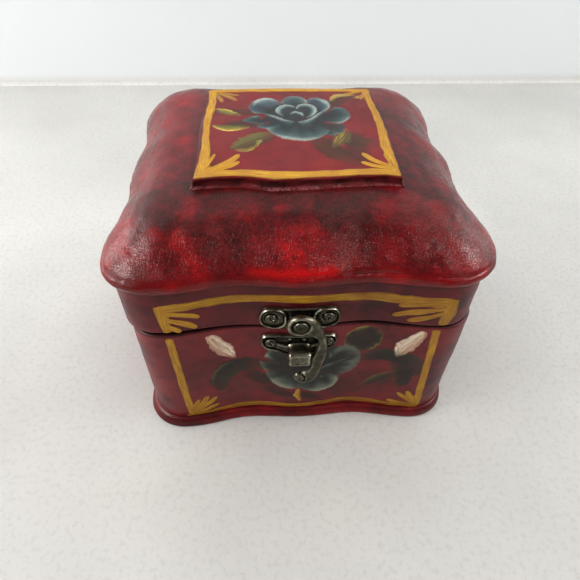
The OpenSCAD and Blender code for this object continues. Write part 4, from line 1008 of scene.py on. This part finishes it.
felt_slab("floor_felt", -57.95, 57.95, -57.95, 57.95, 5.0, 6.0, "base", "base_floor_lining", 301)
felt_slab("ceiling_felt", LID_X - 57.9, LID_X + 57.9, -57.9, 57.9, 84.2, 85.2, "lid", "lid_ceiling_lining", 305, down=True)


def felt_wall():
    """The strip of felt round the inside walls, one loop with small corner folds."""
    half, r, m = 57.97, 1.6, 6
    pts = []
    for k in range(4):
        xs = np.linspace(-(half - r), half - r, 60)
        t = np.radians(90.0 * np.arange(1, m) / m)
        p = np.stack([np.r_[xs, half - r + r * np.sin(t)], np.r_[np.full(60, -half), -(half - r) - r * np.cos(t)]], 1)
        for _ in range(k):
            p = np.stack([-p[:, 1], p[:, 0]], 1)
        pts.append(p)
    out = np.concatenate(pts)
    inn = inset(out, 1.0) - out
    rings_ = []
    zs = np.linspace(6.0, 60.55, 36)
    for z in zs:
        p3 = lift(out, z)
        h = 0.74 - np.clip(0.05 + 0.05 * wobble(p3, 18.0, 311) + 0.02 * wobble(p3, 5.0, 312), 0, 0.2)
        rings_.append(lift(out + inn * h[:, None], z))
    top = rings_[-1][:, :2]
    rings_.append(lift(0.5 * (top + out) + 0.15 * (top - out), 60.85))
    rings_.append(lift(0.5 * (top + out) - 0.2 * (top - out), 60.95))
    rings_.append(lift(out + inn * 0.02, 60.8))
    rings_.append(lift(out, 30.0))
    rings_.append(lift(out, 6.0))
    v, f = loft(rings_, torus=True)
    f = [q[::-1] for q in f]
    o = make("wall_felt", v, f, M_FELT, 60)
    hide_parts("base_wall_lining")
    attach(o, "base")
    return o


felt_wall()


# ---- cast metal pieces -----------------------------------------------------------------------------

def near(p, line):
    """Distance of points p to a closed line."""
    best = np.full(len(p), 1e9)
    a, b = line, np.roll(line, -1, 0)
    for i in range(len(a)):
        d = b[i] - a[i]
        t = np.clip(((p - a[i]) @ d) / max(d @ d, 1e-12), 0, 1)
        best = np.minimum(best, ((p - a[i] - t[:, None] * d) ** 2).sum(1))
    return np.sqrt(best)


def inside(p, line):
    a, b = line, np.roll(line, -1, 0)
    c = np.zeros(len(p), bool)
    for i in range(len(a)):
        y0, y1 = a[i][1], b[i][1]
        if y0 == y1:
            continue
        hit = ((y0 > p[:, 1]) != (y1 > p[:, 1])) & (p[:, 0] < (b[i][0] - a[i][0]) * (p[:, 1] - y0) / (y1 - y0) + a[i][0])
        c ^= hit
    return c


def relief(outline, step, height, back, rings_at=(0.08, 0.2, 0.36, 0.56, 0.8)):
    """A cast shape seen from the front: outline in x, z, its face at height(p, distance to the edge), its flat or bent
    back at back(p). Returns points (x, z, height) and faces; the height axis comes out of the face."""
    line = resample(np.vstack([outline, outline[:1]]), step)[:-1]
    if (line[:, 0] * np.roll(line[:, 1], -1) - line[:, 1] * np.roll(line[:, 0], -1)).sum() < 0:
        line = line[::-1]
    pts = [line]
    for d in rings_at:
        q = inset(line, d)
        pts.append(q[(near(q, line) > d * 0.93) & inside(q, line)])
    lo, hi = line.min(0), line.max(0)
    gx, gz = np.meshgrid(np.arange(lo[0], hi[0], step), np.arange(lo[1], hi[1], step))
    g = np.column_stack([(gx + (np.arange(len(gz)) % 2)[:, None] * step / 2).ravel(), gz.ravel()])
    g = g[inside(g, line)]
    g = g[near(g, line) > rings_at[-1] + 0.35 * step]
    pts.append(g)
    p = np.concatenate(pts)
    n = len(line)
    out = delaunay_2d_cdt([Vector(q) for q in p.tolist()], [(i, (i + 1) % n) for i in range(n)], [list(range(n))], 1, 1e-6)
    vs = np.array([list(q) for q in out[0]])
    tris = [list(t) for t in out[2]]
    n = len(vs)
    orig = {}
    for k, src in enumerate(out[3]):
        for s_ in src:
            orig[s_] = k
    dist = near(vs, line)
    hf = height(vs, dist)
    hb = back(vs)
    v = np.vstack([np.column_stack([vs, hf]), np.column_stack([vs, hb])])
    f = tris + [[a + n for a in t[::-1]] for t in tris]
    loop = [orig[i] for i in range(len(line))]
    f += [[loop[i], loop[i] + n, loop[(i + 1) % len(loop)] + n, loop[(i + 1) % len(loop)]] for i in range(len(loop))]
    return v, f


def metal_piece(name, parts, body, nodes, mat=None, gain=3.2, bias=0.30, extra=None, sharp=62):
    """parts are (points, faces) in the row frame; they make one object with rubbed ridges."""
    v, f, o = [], [], 0
    for p, q in parts:
        v.append(p)
        f += [[int(i) + o for i in x] for x in q]
        o += len(p)
    v = np.concatenate(v)
    ob = make(name, v, f, mat or M_METAL, None)
    import bmesh
    bm = bmesh.new()
    bm.from_mesh(ob.data)
    bmesh.ops.recalc_face_normals(bm, faces=bm.faces)
    bm.to_mesh(ob.data)
    bm.free()
    ob.data.update()
    w = bias + gain * convexity(ob)
    if extra is not None:
        w = w + extra(v)
    attr(ob, "wear", np.clip(w, 0, 1))
    ob.data.set_sharp_from_angle(angle=math.radians(sharp))
    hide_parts(*nodes)
    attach(ob, body)
    return ob


def stand(v, cx, at):
    """x, z, height points to the row frame; at gives the y of the face the height is measured from."""
    return np.column_stack([v[:, 0] + LATCH_X, at(v[:, 0] + LATCH_X, cx) - v[:, 2], v[:, 1]])


def both(p):
    return np.array(p + [(-x, z) for x, z in p[-2:0:-1]], float)


upper_half = [(0, -5.2), (5, -5.4), (10, -5.5), (14.2, -3.6), (15.2, 0), (13.6, 4.2), (10, 5.4), (6.4, 5.1), (3.4, 4.9), (0, 4.9)]
lower_half = [(0, -8.2), (4.5, -7.6), (8.5, -5.6), (12.8, -4.4), (15, -0.5), (14, 3.4), (10, 4.3), (5, 4.3), (0, 4.3)]
up_line = catmull(both(upper_half), 12, True)
low_line = catmull(both(lower_half), 12, True)


def bead(d, at, w, h):
    return h * np.exp(-((d - at) / w) ** 2)


def upper_face(p, d):
    h = np.full(len(p), 0.62) + bead(d, 0.5, 0.35, 0.18)
    for s in (-1, 1):                         # a raised, rimmed ear round each screw
        q = np.column_stack([p[:, 0] - s * 9.95, p[:, 1] + 0.02])
        e = np.abs(q) - (np.array([5.2, 5.42]) - 4.3)
        de = 4.3 - np.hypot(np.maximum(e[:, 0], 0), np.maximum(e[:, 1], 0)) - np.minimum(np.maximum(e[:, 0], e[:, 1]), 0)
        de = np.minimum(de, np.where(s * p[:, 0] > 9, d, 99))
        h = np.where(de > 0, 0.62 + 0.38 * smooth(de, 0, 0.3), h)
        h += 0.66 * np.exp(-((de - 0.55) / 0.36) ** 2) * (de > -0.6)
        r = np.hypot(p[:, 0] - s * 10.6, p[:, 1] - (0.4 if s > 0 else 0))
        h -= 0.30 * (1 - smooth(r, 2.3, 2.9))
    h += 0.35 * np.exp(-((p[:, 1] + 0.0) / 3.4) ** 4) * (1 - smooth(np.abs(p[:, 0]), 3.2, 4.4))
    h *= np.where(d < 0.4, 0.40 + 0.60 * np.sqrt(np.clip(d / 0.4, 0, 1)), 1)
    return h + 0.02 * wobble(p, 2.5, 401)


def lower_face(p, d):
    h = 0.62 + bead(d, 0.55, 0.40, 0.80)
    x, z = p[:, 0], p[:, 1]
    for s in (-1, 1):
        r = np.hypot(x - (11.5 if s > 0 else -10.9), z - (0.1 if s > 0 else -0.2))
        h -= 0.22 * (1 - smooth(r, 2.3, 2.9))
        # curved rim that runs from beside the screw down to the post
        t = np.clip((np.abs(x) - 2.0) / 6.6, 0, 1)
        zc = -3.0 + 1.9 * t ** 1.4
        on = smooth(np.abs(x), 2.2, 3.2) * (1 - smooth(np.abs(x), 8.0, 9.4)) * (np.sign(x) == s)
        h += on * 0.85 * np.exp(-((z - zc) / 0.55) ** 2)
        h += 0.30 * on * smooth(-(z - zc), 0.3, 1.6) * (1 - smooth(-(z - zc), 2.8, 4.2))
        h -= 0.28 * on * smooth(z - zc, 0.4, 1.2) * (1 - smooth(z, 2.4, 3.2))
    # two small knobs over the post
    for kx in (-3.4, 1.9):
        h += 0.75 * np.exp(-(((x - kx) ** 2 + (z - 1.9) ** 2) / 0.75 ** 2))
    h *= np.where(d < 0.5, 0.35 + 0.65 * np.sqrt(np.clip(d / 0.5, 0, 1)), 1)
    return h + 0.02 * wobble(p, 2.5, 402)


v, f = relief(up_line, 0.34, upper_face, lambda p: np.full(len(p), 0.10))
v[:, 2] = np.minimum(v[:, 2], 1.66)
v[:, 1] += PIVOT_Z
metal_piece("catch_upper_plate", [(stand(v, LID_X, face_y), f)], "lid", ["latch_upper_plate"])
v, f = relief(low_line, 0.34, lower_face, lambda p: np.full(len(p), 0.10))
v[:, 2] = np.minimum(v[:, 2], 1.66)
v[:, 1] += 54.1
metal_piece("catch_lower_plate", [(stand(v, 0.0, face_y), f)], "base", ["latch_lower_plate"])


def circle(r, n=40):
    t = np.linspace(0, 2 * np.pi, n, endpoint=False)
    return np.column_stack([r * np.cos(t), r * np.sin(t)])


def pan_head(p, d, turn, r=2.1):
    rr = np.hypot(p[:, 0], p[:, 1])
    h = 0.92 * np.sqrt(np.clip(1 - (rr / r) ** 2 * 0.86, 0.03, 1))
    c, s = math.cos(turn), math.sin(turn)
    a, b = p[:, 0] * c + p[:, 1] * s, -p[:, 0] * s + p[:, 1] * c
    slot_ = np.maximum((1 - smooth(np.abs(a), 0.24, 0.36)) * (1 - smooth(np.abs(b), 1.05, 1.35)),
                       (1 - smooth(np.abs(b), 0.24, 0.36)) * (1 - smooth(np.abs(a), 1.05, 1.35)))
    return h - 0.55 * slot_ * (1 - 0.5 * smooth(rr, 0.3, 1.2)) + 0.01 * wobble(p, 1.2, 403)


def screws(name, places, cx, body, node, turns):
    parts = []
    for (x, z), t in zip(places, turns):
        v, f = relief(circle(2.08), 0.15, lambda p, d, t=t: pan_head(p, d, t), lambda p: np.full(len(p), -0.05), (0.08, 0.2))
        y = float(face_y(x, cx)) - 1.2 + 0.25
        parts.append((np.column_stack([v[:, 0] + x, y - 0.15 - v[:, 2], v[:, 1] + z]), f))
        m = 20                                # the shank, in the wood behind
        c = circle(0.85, m)
        rr = [np.column_stack([c[:, 0] * k + x, np.full(m, y0), c[:, 1] * k + z]) for k, y0 in ((1, y), (1, y + 4.2), (0.3, y + 5.4))]
        parts.append(loft(rr, caps=(True, True)))
    return metal_piece(name, parts, body, [node], bias=0.34, gain=2.6)


screws("upper_plate_screws", [(LATCH_X - 10.6, PIVOT_Z), (LATCH_X + 10.6, PIVOT_Z + 0.4)], LID_X, "lid", "latch_upper_screws", (0.5, 1.1))
screws("lower_plate_screws", [(LATCH_X - 10.9, 53.9), (LATCH_X + 11.5, 54.2)], 0.0, "base", "latch_lower_screws", (0.3, 0.8))

# hook: disc, tapering arm and curl, rounded like a casting
hook_edge = [(-5.2, 0), (-3.7, 3.7), (0, 5.2), (4.4, 3.7), (7, .4), (8.9, -4.5), (10.3, -10), (10.6, -16.5), (9.6, -23), (8.4, -29.5), (6.6, -34.2),
             (3.4, -36.2), (-.1, -35.5), (-2.0, -33), (-1.2, -30.6), (1.2, -29.7), (3.4, -27.8), (4.8, -24), (5, -19), (6.4, -13.5), (7, -9.5),
             (5.2, -6.6), (1.5, -5.6), (-3.4, -4)]
hook_line = catmull(hook_edge, 12, True)


def hook_face(p, d):
    x, z = p[:, 0], p[:, 1]
    r = np.hypot(x, z)
    round_ = np.sqrt(np.clip(1 - (1 - np.clip(d / 1.5, 0, 1)) ** 2, 0, 1))
    h = 0.75 + 1.35 * round_
    disc = 1 - smooth(r, 4.8, 5.8)
    ring_ = 0.75 + 1.42 * np.sqrt(np.clip(d / 0.5, 0, 1)) * (d < 0.5) + 1.42 * (d >= 0.5)
    cup = ring_ - 0.85 * (1 - smooth(r, 3.0, 4.1))
    h = h * (1 - disc) + np.minimum(cup, 2.17) * disc
    tip = np.hypot(x + 0.1, z + 32.3)
    h = np.maximum(h, 2.17 * np.sqrt(np.clip(1 - (tip / 2.2) ** 2, 0, 1)))
    h -= 0.45 * np.exp(-((tip - 2.7) / 0.5) ** 2) * (z > -34.5) * (x < 3)
    ridge = np.exp(-((d - 0.55) / 0.35) ** 2) * (z < -6) * (x > 2)
    return np.minimum(h + 0.10 * ridge + 0.03 * wobble(p, 3.0, 404), 2.18)


v, f = relief(hook_line, 0.30, hook_face, lambda p: 0.05 + 0.45 * (1 - smooth(near(p, hook_line), 0, 0.5)), (0.07, 0.17, 0.3, 0.46, 0.7, 1.0))
hook_v = np.column_stack([v[:, 0] + LATCH_X, -67.6 - v[:, 2], v[:, 1] + PIVOT_Z])
metal_piece("hook", [(hook_v, f)], "hook", ["latch_hook"], bias=0.34, gain=2.6)


def lathe(profile, n=48):
    """Profile of (radius, height) from the back to the front, about the latch's y axis."""
    rr = [np.column_stack([circle(max(r, 0.02), n), np.full(n, h)]) for r, h in profile]
    return loft(rr, caps=(True, True))


# rivet: shank, shoulder and a domed head with a dimple, sunk in the disc's cup
yf = float(face_y(LATCH_X, LID_X))
v, f = lathe([(0.9, 0.0), (0.9, 2.8), (1.5, 3.0), (1.5, 6.0), (2.5, 6.05), (2.55, 6.3)])
shank = (np.column_stack([v[:, 0] + LATCH_X, yf + 3.0 - v[:, 2] * 1.0, v[:, 1] + PIVOT_Z]), f)
v, f = relief(circle(2.55, 56), 0.2, lambda p, d: 0.62 + 0.60 * np.sqrt(np.clip(1 - ((2.55 - d) / 2.6) ** 2, 0, 1)) - 0.22 * np.exp(-((2.55 - d) / 0.9) ** 2),
              lambda p: np.full(len(p), 0.0), (0.08, 0.2, 0.36))
head = (np.column_stack([v[:, 0] + LATCH_X, -69.15 - v[:, 2] * 1.05, v[:, 1] + PIVOT_Z]), f)
metal_piece("pivot_rivet", [shank, head], "lid", ["latch_pivot_rivet"], bias=0.28, gain=2.2)

# post on the lower plate with a rounded-square head
neck = catmull([(-3.5, -2.6), (3.5, -2.6), (3.5, 2.2), (-3.5, 2.2)], 10, True) * 0.98
rr = []
y0 = float(face_y(0.0)) - 1.0
for k, y in ((1.14, y0), (1.1, y0 - 0.35), (1.0, y0 - 0.9), (0.97, y0 - 2.4), (1.0, y0 - 3.6), (1.05, y0 - 4.35)):
    q = neck * k if k < 1.05 else neck * (1 + (k - 1) * 0.8)
    rr.append(np.column_stack([q[:, 0] + LATCH_X, np.full(len(q), y), q[:, 1] + 51.0]))
neck_part = loft(rr, caps=(True, True))
head_line = catmull([(-4, -3.4), (0, -3.7), (4, -3.4), (4.3, 0), (4, 3.2), (0, 3.5), (-4, 3.2), (-4.3, 0)], 10, True)
v, f = relief(head_line, 0.28, lambda p, d: 0.35 + 1.60 * np.sqrt(np.clip(1 - (1 - np.clip(d / 1.0, 0, 1)) ** 2, 0, 1)) - 0.16 * np.exp(-(((p[:, 0]) ** 2 + (p[:, 1]) ** 2) / 5.0)) + 0.02 * wobble(p, 2.0, 405),
              lambda p: 0.02 + 0.28 * (1 - smooth(near(p, head_line), 0, 0.5)), (0.07, 0.17, 0.3, 0.46, 0.7))
y1 = float(face_y(0.0)) - 1.2 - 0.02 - 4.4
head = (np.column_stack([v[:, 0] + LATCH_X, y1 - v[:, 2], v[:, 1] + 51.0]), f)
metal_piece("catch_post", [neck_part, head], "base", ["latch_catch_post"], bias=0.44, gain=3.0)


# ---- hinges: the CAD shapes with softened edges ------------------------------------------------------

def softened(node, name, body, width=0.18):
    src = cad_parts[node]
    me = src.data.copy()
    o = bpy.data.objects.new(name, me)
    bpy.context.scene.collection.objects.link(o)
    import bmesh
    bm = bmesh.new()
    bm.from_mesh(me)
    bmesh.ops.remove_doubles(bm, verts=bm.verts, dist=2e-6)
    bmesh.ops.dissolve_limit(bm, angle_limit=math.radians(1.0), verts=bm.verts, edges=bm.edges)
    sharp_ = [e for e in bm.edges if len(e.link_faces) == 2 and e.calc_face_angle(0) > math.radians(35)]
    bmesh.ops.bevel(bm, geom=sharp_, offset=width * MM, segments=2, affect="EDGES", clamp_overlap=True)
    bmesh.ops.recalc_face_normals(bm, faces=bm.faces)
    bm.to_mesh(me)
    bm.free()
    me.materials.clear()
    me.materials.append(M_HINGE)
    me.polygons.foreach_set("use_smooth", [True] * len(me.polygons))
    me.set_sharp_from_angle(angle=math.radians(38))
    attr(o, "wear", np.clip(0.42 + 1.2 * convexity(o, 1), 0, 1))
    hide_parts(node)
    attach(o, body)
    return o


for side_ in ("left", "right"):
    softened(side_ + "_hinge_lower_leaf", side_ + "_lower_leaf", "base", 0.14)
    softened(side_ + "_hinge_upper_leaf", side_ + "_upper_leaf", "lid", 0.14)
    softened(side_ + "_hinge_pin", side_ + "_pin", "base", 0.08)
softened("hinge_lower_screws", "lower_leaf_screws", "base", 0.06)
softened("hinge_upper_screws", "upper_leaf_screws", "lid", 0.06)


# ---- stage, camera and light --------------------------------------------------------------------------

def camera():
    f_, th, ps, ro = 466.5, math.radians(45.67), math.radians(3.98), math.radians(1.292)
    fw = Vector((math.sin(ps) * math.cos(th), math.cos(ps) * math.cos(th), -math.sin(th)))
    rt_ = Vector((math.cos(ps), -math.sin(ps), 0))
    up = rt_.cross(fw)
    r2 = math.cos(ro) * rt_ + math.sin(ro) * up
    u2 = -math.sin(ro) * rt_ + math.cos(ro) * up
    cam = bpy.data.cameras.new("camera")
    cam.sensor_width, cam.sensor_fit = 36.0, "HORIZONTAL"
    cam.lens = f_ / 580 * 36
    o = bpy.data.objects.new("camera", cam)
    m = Matrix((r2, u2, -fw)).transposed().to_4x4()
    m.translation = Vector((-0.01367, -0.17617, 0.19727))
    o.matrix_world = m
    bpy.context.scene.collection.objects.link(o)
    bpy.context.scene.camera = o


def stage():
    """Pale floor that turns up into a pale wall behind."""
    k = Mat("pale_floor")
    c = k.ramp(k.noise(9.0, 4.0, 0.6), [(0.3, lin("C6C5C2")), (0.7, lin("D3D2CE"))])
    c = k.mix(k.ramp(k.noise(420.0, 3.0, 0.6), [(0.35, 0.25), (0.5, 0.0)]), c, lin("A4A29D"))
    # the floor darker towards the front, in front of and under the box: painted shade
    front_floor_shade = k.node("ShaderNodeMapRange", {"Value": k.node("ShaderNodeSeparateXYZ", {0: k.obj}).outputs[1], "From Min": 0.08, "From Max": -0.16, "To Min": 0.0, "To Max": 0.30}).outputs[0]
    c = k.mix(front_floor_shade, c, lin("8C8A86"))
    hi = k.ramp(k.node("ShaderNodeSeparateXYZ", {0: k.obj}).outputs[2], [(0.002, 0.0), (0.006, 1.0)])
    c = k.mix(hi, c, lin("D9DCDD"))
    k.set(color=c, rough=0.75, spec=0.3, normal=k.bump(k.noise(60.0, 5.0, 0.6), 0.15, 0.0006, k.bump(k.noise(500.0, 4.0, 0.6), 0.25, 0.0003)))
    prof_ = [(-3.0, 0.0), (0.314, 0.0), (0.316, -0.003), (0.319, -0.003), (0.321, 0.002), (0.321, 1.2)]
    v_ = [(x, y, z) for x in (-3.0, 3.0) for y, z in prof_]
    n = len(prof_)
    f_ = [(i, i + n, i + n + 1, i + 1) for i in range(n - 1)]
    me = bpy.data.meshes.new("floor")
    me.from_pydata(v_, [], f_)
    me.update()
    me.polygons.foreach_set("use_smooth", [True] * len(me.polygons))
    me.materials.append(k.m)
    o = bpy.data.objects.new("floor", me)
    bpy.context.scene.collection.objects.link(o)


def area(name, at, to, size, radiance, colour=(1, 1, 1), size_y=None, glossy=True, diffuse=True):
    l = bpy.data.lights.new(name, "AREA")
    l.shape = "RECTANGLE"
    l.size, l.size_y = size, size_y or size
    l.energy, l.color = radiance * math.pi * size * (size_y or size), colour
    o = bpy.data.objects.new(name, l)
    o.location = at
    o.rotation_euler = (Vector(to) - Vector(at)).to_track_quat("-Z", "Y").to_euler()
    o.visible_camera = False
    o.visible_glossy, o.visible_diffuse = glossy, diffuse
    bpy.context.scene.collection.objects.link(o)


def light():
    """Two windows at the sides, soft walls beside them, and a dim ceiling with one strip."""
    area("window_left", (-1.25, -0.19, 0.61), (0, 0, 0.08), 0.60, 9.0, (1.0, 0.98, 0.96), 0.52, glossy=False)
    area("window_left_shine", (-1.14, -0.38, 0.89), (-0.06, -0.06, 0.096), 0.66, 9.4, (1.0, 0.97, 0.96), 0.62, diffuse=False)
    area("window_right", (1.28, -0.06, 0.50), (0, 0, 0.08), 0.36, 10.0, (1.0, 0.99, 0.97), 0.30, glossy=False)
    area("window_right_shine", (1.19, -0.32, 0.80), (0.054, -0.06, 0.096), 0.40, 7.4, (1.0, 0.98, 0.97), 0.46, diffuse=False)
    area("strip_front", (0.44, -0.92, 1.02), (0.015, -0.06, 0.097), 0.10, 4.4, (1.0, 0.98, 0.97), 0.50, diffuse=False)
    area("shade_right", (0.84, -0.10, 0.80), (0, 0, 0.08), 0.75, 1.1, (1.0, 0.98, 0.96), 0.60, diffuse=False)
    area("back_left", (-0.52, 0.27, 0.26), (0, 0.02, 0.09), 0.45, 2.6, (1, 0.99, 0.98), 0.40, diffuse=False)
    area("back_right", (0.54, 0.27, 0.26), (0, 0.02, 0.09), 0.45, 1.2, (1, 0.99, 0.98), 0.40, diffuse=False)
    area("soft_left", (-0.78, 0.16, 0.34), (0, 0.02, 0.08), 0.85, 1.9, (1, 0.99, 0.98), 0.45)
    area("soft_right", (0.80, 0.18, 0.34), (0, 0.02, 0.08), 0.80, 1.2, (1.0, 0.99, 0.98), 0.42)
    area("above", (0.0, -0.42, 1.18), (0, 0.0, 0.05), 1.5, 3.0, (1, 1, 1), 0.9, glossy=False)
    area("strip", (0.33, -0.02, 1.30), (0.02, -0.04, 0.1), 0.15, 0.9, (1, 1, 1), 0.7, diffuse=False)
    area("ceiling", (-0.30, 0.0, 1.30), (0.0, -0.04, 0.1), 0.35, 0.12, (1, 1, 1), 0.5, diffuse=False)
    w = bpy.data.worlds.new("room")
    bpy.context.scene.world = w
    w.use_nodes = True
    t = w.node_tree
    bg = t.nodes["Background"]
    tc = t.nodes.new("ShaderNodeTexCoord")
    sx = t.nodes.new("ShaderNodeSeparateXYZ")
    t.links.new(tc.outputs["Generated"], sx.inputs[0])

    def span(out, a, b, c, d):
        n = t.nodes.new("ShaderNodeMapRange")
        for key, val in (("From Min", a), ("From Max", b), ("To Min", c), ("To Max", d)):
            n.inputs[key].default_value = val
        t.links.new(sx.outputs[out], n.inputs["Value"])
        return n.outputs[0]
    m = t.nodes.new("ShaderNodeMath")
    m.operation = "MULTIPLY"
    t.links.new(span("Y", -0.6, 0.7, 0.12, 1.05), m.inputs[0])
    t.links.new(span("Z", 0.50, 0.92, 1.0, 0.12), m.inputs[1])
    t.links.new(m.outputs[0], bg.inputs["Strength"])
    bg.inputs["Color"].default_value = (1.0, 0.985, 0.965, 1)


camera()
stage()
light()
bpy.context.scene.view_settings.view_transform = "Standard"
bpy.context.scene.view_settings.look = "Medium High Contrast"
